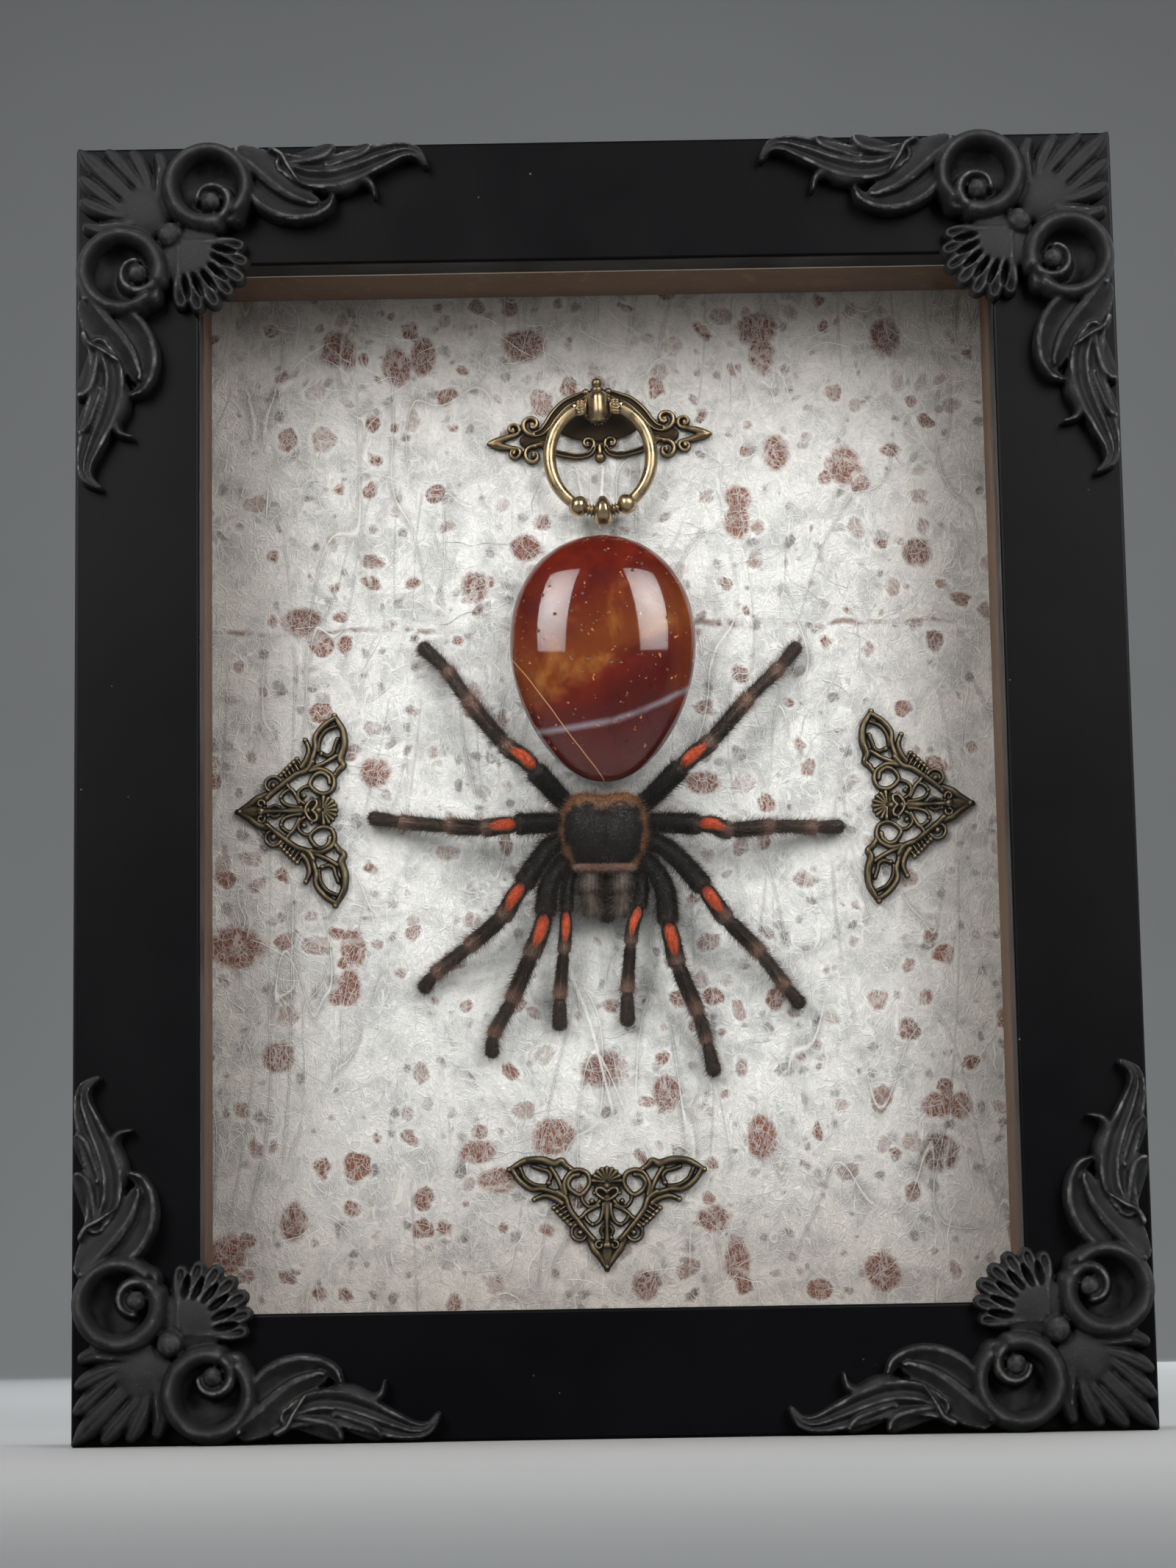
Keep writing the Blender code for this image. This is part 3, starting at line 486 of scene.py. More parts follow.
lay_stroke(sheet, ((4, FOLD_DOWN - 2, 1.2, 0.45), (30, FOLD_DOWN, 1.0, 0.3), (60, FOLD_DOWN + 1, 1.0, 0.05),
                   (150, FOLD_DOWN + 1, 1.0, 0.05), (180, FOLD_DOWN + 2, 1.0, 0.3),
                   (wide - 4, FOLD_DOWN + 1, 1.2, 0.42)), pinch, 6, 0.0)
ridges = np.clip(sheet["height"], 0.0, 1.0)
swell = 0.11 * np.sin(sheet["across"] / 17 + 1.3) * np.sin(sheet["down"] / 23 + 0.4)
swell += 0.07 * np.sin(sheet["across"] / 9 + sheet["down"] / 13)
edge = np.minimum(np.minimum(sheet["across"], wide - sheet["across"]),
                  np.minimum(sheet["down"], tall - sheet["down"]))
swell *= np.clip(edge / 12, 0.0, 1.0)
PAPER_REST = 0.5
front = np.maximum(paper_low.y + (PAPER_REST + swell - 0.75 * ridges) * MM, paper_low.y)
rows, columns = front.shape
top_left = np.stack([
    paper_low.x + np.minimum(sheet["across"], wide) * MM,
    front,
    paper_high.z - np.minimum(sheet["down"], tall) * MM,
], 2).reshape(-1, 3)
paper_mesh = grid_mesh("backing_paper_sheet", top_left, grid_faces(rows, columns))


def close_back(shape):
    """Carry the sheet's border back to a flat rear face."""
    grown = bmesh.ops.extrude_edge_only(shape, edges=[edge for edge in shape.edges if edge.is_boundary])
    for item in grown["geom"]:
        if isinstance(item, bmesh.types.BMVert):
            item.co.y = paper_high.y
    bmesh.ops.contextual_create(shape, geom=[edge for edge in shape.edges if edge.is_boundary])


rework(paper_mesh, close_back)

# The larger thin places, a handful given one by one: across and up in mm, half size, and how
# rusty the ground under them is, from 0 for grey to 1 for orange.
THIN_PLACES = (
    (-68.9, 286, 5.0, 0.55), (-53.3, 281, 5.0, 0.5), (-46, 283.5, 4.5, 0.55), (-19.2, 286, 5.5, 0.5),
    (42.8, 289, 5.5, 0.5), (43.7, 282.5, 4.5, 0.65), (77, 286.6, 5.0, 0.4), (47.2, 255, 4.6, 0.75),
    (64.7, 251.6, 5.2, 0.8), (37, 243.6, 3.6, 0.9), (36.4, 237, 4.2, 0.9), (-19.6, 231, 4.0, 0.6),
    (-33.2, 220.5, 4.4, 0.4), (-78.7, 211.8, 4.6, 0.5), (-59.4, 171.8, 4.4, 0.7), (83.7, 227.9, 4.2, 0.5),
    (25.6, 167.3, 4.2, 0.6), (-96.4, 126.1, 7.0, 1.0), (-65.8, 125.6, 4.4, 0.7), (-66.9, 115.4, 4.2, 0.75),
    (-1.3, 93, 5.6, 0.45), (-14.7, 76, 5.4, 0.85), (14.8, 86.6, 4.4, 0.5), (-33.9, 72.3, 4.0, 0.8),
    (-28.9, 65.2, 4.4, 0.85), (38.8, 75.2, 4.8, 0.85), (26.3, 54.3, 4.2, 0.65), (32, 43.2, 4.6, 0.7),
    (69.1, 40.6, 5.2, 0.6), (8.8, 37.6, 4.2, 0.5), (-98.6, 47.4, 5.2, 0.9), (-85.3, 97.4, 4.4, 0.6),
    (84.5, 82.5, 4.0, 0.8), (90.5, 82.4, 3.6, 0.8), (85.1, 70.4, 5.4, 0.25), (-81.4, 55.1, 4.6, 0.5),
)
thin = np.zeros(rows * columns)
rust = np.zeros(rows * columns)
for across, up, half, rusty in THIN_PLACES:
    squash = random.uniform(0.75, 1.3)
    reach = np.hypot((top_left[:, 0] / MM - across) * squash, (top_left[:, 2] / MM - up) / squash) / half
    share = np.clip(1.25 - reach, 0.0, 1.0) / 1.25
    thin = np.maximum(thin, share)
    rust = np.where(share > 0.02, np.maximum(rust * (share < 0.3), rusty), rust)


def store(mesh, label, values, kind="FLOAT"):
    """Store values on the first points of a mesh; any points after them get nothing."""
    stored = mesh.attributes.new(label, kind, "POINT")
    wanted = np.zeros((len(mesh.vertices), *np.shape(values)[1:]), np.float32)
    wanted[:len(values)] = values
    field = {"FLOAT": "value", "FLOAT_VECTOR": "vector", "FLOAT_COLOR": "color"}[kind]
    stored.data.foreach_set(field, wanted.ravel())


store(paper_mesh, "thin", thin)
store(paper_mesh, "rust", rust)
store(paper_mesh, "ridge", ridges.ravel())


def attribute(label, output="Fac"):
    return node("ShaderNodeAttribute", attribute_name=label)[output]


lace_paper = start_material("white_lace_paper")
swirl = noise(place, 60.0, 3.0, 0.5, output="Color")
bent = vector("ADD", place, vector("MULTIPLY", swirl, (0.009, 0.009, 0.009)))


def most(first, second):
    return calc("MAXIMUM", first, second)


def net(scale, width):
    """Crossing fibres: 1 on a fibre and 0 in the gaps."""
    return fade(cells(bent, scale, feature="DISTANCE_TO_EDGE"), 0.0, width, 1.0, 0.0)


def strands(scale, squeeze, turn, width, source=bent, detail=2.0):
    """Long thin fibres that lie one way, bent by the swirl: 1 on a fibre and 0 between."""
    laid = stretched(source, squeeze, (0.0, turn, 0.0))
    return fade(abs(noise(laid, scale, detail, 0.5, 0.6) - 0.5), 0.0, width, 1.0, 0.0)


def crumpling(sharpness):
    """The sheet's creases in three directions, as fine as sharpness."""
    steep, flat, upright = (
        strands(scale, (1.0, 1.0, 0.25), turn, width * sharpness, place, 1.0)
        for scale, turn, width in ((26.0, 0.45, 0.0032), (30.0, -0.6, 0.0034), (34.0, 0.05, 0.0036))
    )
    return most(steep, most(flat, upright))


crumpled = fade(noise(place, 38.0, 2.0), 0.42, 0.54)
# Crease lines: sharp ones for bumps and a painted highlight, wide ones for painted shade beside them.
creases_and_highlight = crumpling(0.55) * crumpled
crease_shade = crumpling(3.5) * crumpled
long_fibres = most(strands(200.0, (1.0, 1.0, 0.35), 0.5, 0.016),
                   strands(190.0, (1.0, 1.0, 0.35), -0.9, 0.016))
lattice = most(net(330.0, 0.06), net(760.0, 0.09) * 0.7)
web = most(long_fibres, lattice)
cloud = noise(bent, 120.0, 4.0, 0.6)
pulp = noise(bent, 900.0, 4.0, 0.7)
body = blend(fade(cloud, 0.34, 0.62), (0.47, 0.475, 0.475), (0.80, 0.805, 0.795))
body = blend(fade(pulp, 0.38, 0.6, 0.28, 0.0), body, (0.34, 0.34, 0.345))
body = blend(web * 0.6, body, (0.82, 0.825, 0.81))

# Small thin places are scattered in two sizes; each cell of a scatter has its own size and tint.


def thin_spots(scale, least, spread, softness):
    """Round thin places, one to a cell: how thin the paper is, each cell's own random tint, and
    how near the thick white rim round the place is."""
    cell = cells(bent, scale, randomness=0.9)
    pick = node("ShaderNodeSeparateColor", {0: cell["Color"]})
    hole = pick[0] * spread + least - (cell + ragged)
    bareness = calc("MULTIPLY_ADD", pick[2], 0.7, 0.5, clamp=True)
    thinness = fade(hole, 0.0, softness) * bareness
    return thinness, pick[1], fade(hole, -0.11, -0.01)


FOLD_HEIGHT = 213.5 * MM  # where an old fold crosses the sheet and has stained along its line
ragged = pulp * 0.16 + cloud * 0.5 - 0.33
middling, middling_tint, rim_near = thin_spots(118.0, 0.18, 0.23, 0.12)
tiny, _, _ = thin_spots(215.0, 0.05, 0.40, 0.2)
large = fade(attribute("thin") - ragged, 0.10, 0.42)
rusty = most(attribute("rust") * fade(large, 0.0, 0.1),
             fade(middling_tint, 0.15, 0.75) * (middling * 0.8))
ground = blend(fade(rusty, 0.08, 0.42), (0.150, 0.125, 0.124), (0.260, 0.084, 0.050))
ground = blend(fade(rusty, 0.45, 0.85), ground, (0.37, 0.108, 0.042))
ground = blend(fade(noise(place, 1100.0, 3.0, 0.7), 0.42, 0.6, 0.55, 0.0), ground, (0.056, 0.024, 0.015))
core = fade(most(middling, large), 0.55, 1.0)
ground = blend(core * 0.5, ground, (0.130, 0.038, 0.018))
crossing = most(strands(420.0, (1.0, 1.0, 0.5), 0.9, 0.03),
                strands(400.0, (1.0, 1.0, 0.5), -0.4, 0.03))
bare = 1.0 - most(web, crossing) * 0.55
spots = most(tiny * 0.8, most(middling, large))
see_through = spots * bare
body = blend(rim_near * 0.45, body, (0.84, 0.845, 0.83))
tone = blend(see_through * 0.95, body, ground)
fold_away = axes(bent)["Z"] - FOLD_HEIGHT
stain = fade(abs(fold_away), 0.0002, 0.0014, 1.0, 0.0) * fade(cloud, 0.46, 0.6)
tone = blend(stain * 0.75, tone, (0.17, 0.075, 0.05))
# Painted light on the crumpling: a painted highlight on the ridges' crests, painted shade beside the creases and a
# painted highlight along them.
tone = blend(fade(attribute("ridge"), 0.05, 0.3, 0.0, 0.35), tone, (0.86, 0.85, 0.82))
tone = blend(crease_shade * 0.55, tone, (0.50, 0.49, 0.48), "MULTIPLY")
tone = blend(creases_and_highlight * 0.65, tone, (0.93, 0.92, 0.90))

# The sheet is painted darker and a little warmer towards its edges: painted shade from the box's walls.
paper_middle = (paper_low + paper_high) / 2
spot = axes(place)
sideways = abs(spot["X"] - paper_middle.x) * (2.0 / (paper_high.x - paper_low.x))
upward = abs(spot["Z"] - paper_middle.z) * (2.0 / (paper_high.z - paper_low.z))
outward = calc("SMOOTH_MAX", sideways, upward, 0.3)
painted_edge_shade = fade(cloud * 0.25 + outward, 0.6, 1.1)
tone = blend(painted_edge_shade * 0.85, tone, (0.60, 0.55, 0.51), "MULTIPLY")
relief = creases_and_highlight * 1.3 + (web + cloud * 1.2 - see_through)
wear({
    "Base Color": tone,
    "Roughness": fade(web, 0.0, 1.0, 0.86, 0.7),
    "Specular IOR Level": 0.25,
    "Normal": bump(relief, 0.6, 0.0003),
})


def finish_piece(name, mesh, material, body, material_slot, *stands_for):
    """Put a finished mesh in the scene, on its body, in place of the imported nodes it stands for."""
    mesh.name = name
    mesh.materials.clear()
    mesh.materials.append(material)
    made = put(name, mesh)
    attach(made, body)
    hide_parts(*stands_for)


paper_mesh.shade_smooth()
paper_mesh.set_sharp_from_angle(angle=math.radians(60))
finish_piece("lace_paper_sheet", paper_mesh, lace_paper, "frame", "lace_paper", "backing_paper")

loose_fibre = start_material("white_paper_fibre")
silk = noise(place, 700.0, 3.0)
wear({
    "Base Color": blend(silk, (0.62, 0.62, 0.60), (0.90, 0.895, 0.87)),
    "Roughness": 0.6,
    "Specular IOR Level": 0.3,
})
fibre_paths = []
for index in range(6):
    heading = random.uniform(-0.5, 0.5)
    spot = np.zeros(3)
    knots = []
    for step in range(5):
        knots.append((spot[0], spot[1], 0.0))
        heading += random.uniform(-0.75, 0.75)
        spot = spot + random.uniform(1.6, 4.0) * np.array([math.cos(heading), math.sin(heading), 0.0])
    fibre_paths.append(smooth_path(knots, 3))


def start_tree(name, inputs):
    """Start a geometry tree with these inputs, by name and kind, and return the inputs."""
    global tree
    tree = bpy.data.node_groups.new(name, "GeometryNodeTree")
    for label, kind in {"Geometry": "Geometry", **inputs}.items():
        tree.interface.new_socket(label, in_out="INPUT", socket_type="NodeSocket" + kind)
    tree.interface.new_socket("Geometry", in_out="OUTPUT", socket_type="NodeSocketGeometry")
    return node("NodeGroupInput")


def end_tree(shape, material):
    coated = node("GeometryNodeSetMaterial", {"Geometry": shape, "Material": material})
    tree.links.new(coated.socket, tree.nodes.new("NodeGroupOutput").inputs[0])
    return tree


def chance(low, high, seed):
    """A random number for each instance."""
    return node("FunctionNodeRandomValue", {2: low, 3: high, "Seed": seed}, data_type="FLOAT")[1]


def turn_about(axis, angle):
    return node("FunctionNodeEulerToRotation", {0: node("ShaderNodeCombineXYZ", {axis: angle})})


def plain_mesh(made):
    """The evaluated mesh of an object, which is then removed."""
    bpy.context.view_layer.update()
    graph = bpy.context.evaluated_depsgraph_get()
    mesh = bpy.data.meshes.new_from_object(made.evaluated_get(graph))
    bpy.data.objects.remove(made)
    return mesh


def run_tree(name, mesh, group, values):
    """Run a geometry tree on a mesh, with its inputs by name, and return a plain mesh."""
    made = put(name, mesh)
    growth = made.modifiers.new(name, "NODES")
    growth.node_group = group
    for item in group.interface.items_tree:
        if item.item_type == "SOCKET" and item.in_out == "INPUT" and item.name in values:
            growth[item.identifier] = values[item.name]
    made.update_tag()
    return plain_mesh(made)


given = start_tree("laid fibres", {"Fibres": "Collection", "Density": "Float", "Seed": "Int", "Material": "Material"})
scatter = node("GeometryNodeDistributePointsOnFaces",
               {"Mesh": given["Geometry"], "Density": given["Density"], "Seed": given["Seed"]})
shapes = node("GeometryNodeCollectionInfo",
              {"Collection": given["Fibres"], "Separate Children": True, "Reset Children": True})
laid = node("GeometryNodeInstanceOnPoints", {
    "Points": scatter["Points"], "Instance": shapes, "Pick Instance": True,
    "Rotation": turn_about("Y", chance(0.0, 2 * math.pi, 4)), "Scale": chance(0.5, 1.35, 6),
})
laid_tree = end_tree(node("GeometryNodeRealizeInstances", {0: laid}), given["Material"])

# ---- the four corner ornaments ----
# One casting in charcoal resin, glued over each mitre: a fan of petals in the corner, two hollow
# scrolls, a small fluted shell, and acanthus leaves along both rails, dry-brushed on the edges.


def lay_boss(field, across, down, radius, top, foot=0.0, stretch=1.0):
    """Raise a round boss from foot to top; stretch makes it longer downwards."""
    reach = np.hypot(field["across"] - across, (field["down"] - down) / stretch) / radius
    dome = foot + (top - foot) * np.sqrt(np.clip(1.0 - reach**2, 0.0, 1.0))
    field["height"] = np.where(reach < 1.0, np.maximum(field["height"], dome), field["height"])


def around(across, down, first, last, start, stop, count, half, top, end_half=None):
    """Knots round a centre, from radius first to last; angles in degrees turn from across to down."""
    end_half = half if end_half is None else end_half
    knots = []
    for share in np.linspace(0.0, 1.0, count):
        angle = math.radians(start + (stop - start) * share)
        reach = first + (last - first) * share
        width = half + (end_half - half) * share
        knots.append((across + reach * math.cos(angle), down + reach * math.sin(angle), width, top))
    return knots


def petal(side, way):
    """A plump petal, pressed in a little along its middle."""
    return 0.12 + 0.88 * np.sqrt(1.0 - side**2 * 0.98) - 0.12 * np.exp(-(side / 0.2) ** 2)


def leaf(side, way):
    """A broad leaf: hollow either side of a fine rib, with edges that turn up."""
    hollow = 0.24 * np.exp(-((np.abs(side) - 0.42) / 0.26) ** 2)
    return 0.94 - hollow + 0.06 * np.exp(-(side / 0.12) ** 2)


def curled_leaf(side, way):
    """A lobe that is high along one edge and falls in a hollow to the other."""
    return 0.62 + 0.38 * np.clip((side + 0.75) / 1.3, 0.0, 1.0) ** 1.6 - 0.2 * np.clip(side - 0.7, 0.0, 1.0)


def flute(side, way):
    """One rib of the shell: a crest that hollows out towards its end."""
    hollow = 0.42 * np.clip((way - 0.35) / 0.5, 0.0, 1.0) * np.exp(-(side / 0.42) ** 2)
    return 0.45 + 0.55 * np.sqrt(1.0 - side**2 * 0.98) - hollow


def drip(side, way):
    return 0.3 + 0.7 * np.sqrt(1.0 - side**2 * 0.98)


# All that lies along one rail, as (section, knots); it is laid again swapped over the diagonal.
ARM = (
    (petal, ((15, 14, 1.3, 4.6), (9, 8.5, 2.6, 4.4), (4.4, 4.3, 2.5, 3.8), (1.0, 1.0, 0.6, 3.0))),
    (petal, ((18, 13, 1.1, 4.8), (14.5, 8.5, 2.1, 4.6), (10.8, 4.2, 2.3, 4.2), (8.8, 2.0, 1.5, 3.6))),
    (petal, ((19.5, 13, 1.1, 5.0), (18.3, 9, 2.1, 4.9), (16.4, 4.8, 2.3, 4.5), (15.0, 2.5, 1.6, 3.8))),
    (petal, ((21.5, 15, 1.2, 5.4), (22.3, 10.5, 2.2, 5.4), (22.6, 6.6, 2.3, 5.0), (21.6, 3.4, 1.7, 4.2))),
    (drip, ((64.5, 12.2, 1.9, 5.3), (69, 12.6, 1.8, 5.1), (73.4, 10.6, 1.7, 4.9), (76.2, 11.8, 1.0, 4.7),
        (77.2, 15.0, 0.45, 4.3))),
    (leaf, ((54.5, 6.6, 2.6, 6.7), (60, 8.6, 4.0, 6.3), (66, 8.6, 4.3, 5.9), (72, 7.0, 4.0, 5.6),
        (78.5, 4.6, 3.1, 5.4), (84.0, 3.0, 2.0, 5.2), (87.9, 3.6, 1.3, 5.0), (90.2, 6.6, 0.55, 4.4))),
    (curled_leaf, ((65.5, 6.2, 1.5, 5.6), (69.5, 4.6, 1.9, 5.9), (73.6, 3.0, 1.9, 5.9), (75.4, 1.9, 1.1, 5.6))),
    (curled_leaf, ((55.5, 5.4, 1.5, 6.4), (60.0, 4.4, 2.1, 6.4), (64.0, 3.2, 2.2, 6.4), (65.6, 2.0, 1.3, 6.1))),
    (curled_leaf, ((46.0, 13.0, 2.4, 7.4), (49.6, 16.2, 2.9, 6.9), (54.2, 18.6, 2.6, 6.4),
        (59.6, 19.1, 2.2, 6.0), (64.2, 17.6, 1.6, 5.6), (66.0, 15.2, 0.8, 5.2))),
    (curled_leaf, ((43.5, 3.6, 2.4, 8.6), (48.2, 6.2, 3.7, 8.0), (52.6, 10.0, 3.7, 7.4),
        (56.8, 13.6, 2.8, 6.8), (61.6, 16.2, 1.5, 6.0))),
    (drip, ((50.8, 2.9, 1.0, 7.6), (53.4, 4.4, 1.0, 7.4), (55.2, 7.6, 0.8, 7.2), (58.0, 11.8, 0.6, 6.8))),
    (crest, around(34.6, 12.5, 9.6, 9.7, 78, 402, 22, 2.5, 9.2, 2.0)),
    (crest, ((42.3, 19.4, 1.6, 8.4), (41.4, 21.0, 1.4, 7.6), (39.6, 21.8, 0.8, 6.8))),
    (crest, around(35.4, 16.6, 3.4, 5.2, 190, 450, 14, 0.95, 8.6, 1.9)),
)
corner = flat_field((-0.6, -0.6), (93.0, 93.0), 0.36)


def lay_swapped(field, knots, section):
    """Raise the same ridge swapped over the diagonal, with its section turned round."""
    swapped = [(knot[1], knot[0], *knot[2:]) for knot in knots]
    lay_stroke(field, swapped, lambda side, way: section(-side, way))


def lay_bowl(across, down, reach, rim, floor):
    """The hollow inside a scroll, whose wall slopes down to a low floor."""
    away = np.hypot(corner["across"] - across, corner["down"] - down) / reach
    bowl = floor + (rim - floor) * away**3
    corner["height"] = np.where(away < 1.0, np.maximum(corner["height"], bowl), corner["height"])


for section, knots in ARM:
    lay_stroke(corner, knots, section)
    lay_swapped(corner, knots, section)
for across, down in ((34.6, 12.5), (12.5, 34.6)):
    lay_bowl(across, down, 9.2, 6.5, 0.7)
for across, down in ((35.3, 16.6), (16.6, 35.3)):
    lay_boss(corner, across, down, 2.6, 8.7, 5.0)
lay_boss(corner, 18.0, 18.0, 7.5, 5.5, 2.4)
lay_boss(corner, 31.0, 31.0, 8.0, 6.9, 4.2)
for rib in range(7):
    angle = math.radians(45 + 14.5 * (rib - 3))
    reach = (15.2, 16.8, 17.6)[min(2, 3 - abs(rib - 3))]
    knots = []
    for share, half, top in ((0.1, 1.2, 6.8), (0.5, 1.7, 6.6), (0.82, 2.15, 6.0), (1.0, 1.7, 5.0)):
        knots.append((27.0 + share * reach * math.cos(angle), 27.0 + share * reach * math.sin(angle), half, top))
    lay_stroke(corner, knots, flute)
for gap in range(6):
    angle = math.radians(45 + 14.5 * (gap - 2.5))
    cosine, sine = math.cos(angle), math.sin(angle)
    along = (corner["across"] - 27.0) * cosine + (corner["down"] - 27.0) * sine - (12.6 - 0.35 * abs(gap - 2.5))
    beside = (corner["down"] - 27.0) * cosine - (corner["across"] - 27.0) * sine
    depth = np.clip(1.0 - (along / 3.2) ** 2 - (beside / 0.95) ** 2, 0.0, 1.0)
    corner["height"] -= 3.6 * np.sqrt(depth) * (corner["height"] > 3.7)
lay_boss(corner, 25.0, 25.0, 3.4, 8.8, 4.5)


def field_mesh(name, field):
    """Close a carved field into a solid with a flat back: local x across, z up, top towards -Y."""
    rows, columns = field["height"].shape
    spots = np.stack([field["across"], -field["height"], -field["down"]], 2).reshape(-1, 3) * MM
    raised = field["height"] > 0.0
    kept = raised[:-1, :-1] | raised[1:, :-1] | raised[:-1, 1:] | raised[1:, 1:]
    faces = np.array(grid_faces(rows, columns))[kept.ravel()]
    mesh = grid_mesh(name, spots, faces.tolist())

    def close(shape):
        bmesh.ops.delete(shape, geom=[vertex for vertex in shape.verts if not vertex.link_faces], context="VERTS")
        whole = shape.verts[:] + shape.edges[:] + shape.faces[:]
        bmesh.ops.bisect_plane(shape, geom=whole, plane_co=(0, 0, 0), plane_no=(0, 1, 0), clear_outer=True)
        bmesh.ops.remove_doubles(shape, verts=shape.verts, dist=0.000005)
        bmesh.ops.triangle_fill(shape, use_beauty=True, edges=[edge for edge in shape.edges if edge.is_boundary])

    return rework(mesh, close)


def settle(mesh, cell, share, rounds=2):
    """Even out a carved solid: remesh it at cell, soften it a little, and thin the flat stretches."""
    made = put(mesh.name, mesh)
    melt = made.modifiers.new("melt", "REMESH")
    melt.mode = "VOXEL"
    melt.voxel_size = cell * MM
    soften = made.modifiers.new("soften", "SMOOTH")
    soften.factor = 0.5
    soften.iterations = rounds
    thin_out = made.modifiers.new("thin out", "DECIMATE")
    thin_out.ratio = share
    settled = plain_mesh(made)
    settled.shade_smooth()
    return settled


def mark_edges(mesh, rounds=2, level=0.5, shallow=None, deep=None):
    """Store how far each point stands out from its neighbours as "edge": level is flat, 1 a ridge.
    What lies between the shallow and deep places along Y is darkened more and more: painted shade on the resin,
    patina on the metal."""
    count = len(mesh.vertices)

    def read(items, label, width, kind=float):
        values = np.zeros(len(items) * width, kind)
        items.foreach_get(label, values)
        return values.reshape(-1, width)

    spots = read(mesh.vertices, "co", 3)
    normals = read(mesh.vertices, "normal", 3)
    pairs = read(mesh.edges, "vertices", 2, int)
    links = np.maximum(np.bincount(pairs.ravel(), minlength=count), 1)

    def neighbours(values):
        total = np.zeros_like(values)
        np.add.at(total, pairs[:, 0], values[pairs[:, 1]])
        np.add.at(total, pairs[:, 1], values[pairs[:, 0]])
        return total / (links[:, None] if values.ndim > 1 else links)

    length = np.linalg.norm(spots[pairs[:, 0]] - spots[pairs[:, 1]], axis=1).mean()
    proud = ((spots - neighbours(spots)) * normals).sum(1) / length
    for _ in range(rounds):
        proud = 0.5 * proud + 0.5 * neighbours(proud)
    worn = level + proud * 2.2
    # Darken the deep places: painted shade on the resin, patina on the metal.
    if deep is not None:
        worn -= 0.4 * np.clip((spots[:, 1] - shallow) / (deep - shallow), 0.0, 1.0)
    store(mesh, "edge", np.clip(worn, 0.0, 1.0))


cast_resin = start_material("charcoal_cast_resin")
edge = attribute("edge")
grit = noise(place, 2600.0, 3.0, 0.7)
blotch = noise(place, 260.0, 4.0, 0.65)
brushed = fade(edge, 0.56, 0.85) * fade(blotch, 0.36, 0.62)
speck = fade(grit, 0.64, 0.72) * fade(edge, 0.48, 0.7)
# The resin's hollows are painted darker than its raised parts: painted shade.
tone = blend(fade(edge, 0.2, 0.52), (0.0025, 0.0025, 0.003), (0.020, 0.020, 0.021))
tone = blend(fade(blotch, 0.4, 0.75, 0.0, 0.6), tone, (0.036, 0.036, 0.037))
tone = blend(brushed, tone, (0.32, 0.32, 0.31))
tone = blend(speck * 0.8, tone, (0.42, 0.42, 0.41))
rough_cast = grit * 0.6 + blotch
wear({
    "Base Color": tone,
    "Roughness": fade(blotch, 0.3, 0.7, 0.52, 0.7),
    "Specular IOR Level": 0.4,
    "Normal": bump(rough_cast, 0.7, 0.00022),
})

frame_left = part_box("rail_left")[0].x
frame_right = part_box("rail_right")[1].x
frame_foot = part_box("rail_bottom")[0].z
frame_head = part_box("rail_top")[1].z
ornament = settle(field_mesh("corner_ornament", corner), 0.36, 0.42)
ornament_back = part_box("corner_ornament_top_left")[1].y
for name, x, z, turn in (
    ("corner_ornament_top_left", frame_left, frame_head, 0.0),
    ("corner_ornament_bottom_left", frame_left, frame_foot, -math.pi / 2),
    ("corner_ornament_bottom_right", frame_right, frame_foot, math.pi),
    ("corner_ornament_top_right", frame_right, frame_head, math.pi / 2),
):
    turned = ornament.copy()
    turned.transform(Matrix.Translation((x, ornament_back, z)) @ Matrix.Rotation(turn, 4, "Y"))
    # The casting darkens over the last 5 mm towards the rail face: painted shade.
    mark_edges(turned, 2, 0.5, ornament_back - 5.0 * MM, ornament_back - 0.5 * MM)
    finish_piece(name + "_casting", turned, cast_resin, "frame", "cast_resin", name)

# ---- the three filigree corners ----
# Stamped and pierced openwork in antiqued bronze, one shape used three times, glued flat to the
# paper with its point outwards: wings, looped straps, beads, volutes and a fluted shell.

filigree = flat_field((-26.4, -0.6), (26.4, 29.8), 0.13)


def lay_pair(field, knots, section=crest, steps=6, wall=5.0):
    """One stroke and its mirror image across the middle line."""
    lay_stroke(field, knots, section, steps, wall)
    mirrored = [(-knot[0], *knot[1:]) for knot in knots]
    lay_stroke(field, mirrored, lambda side, way: section(-side, way), steps, wall)


def lay_boss_pair(field, across, down, radius, top, foot=0.0):
    for side in (-1, 1):
        lay_boss(field, side * across, down, radius, top, foot)


def even(half, top, *places):
    """Knots of one width and height through (across, down) places."""
    return [(across, down, half, top) for across, down in places]


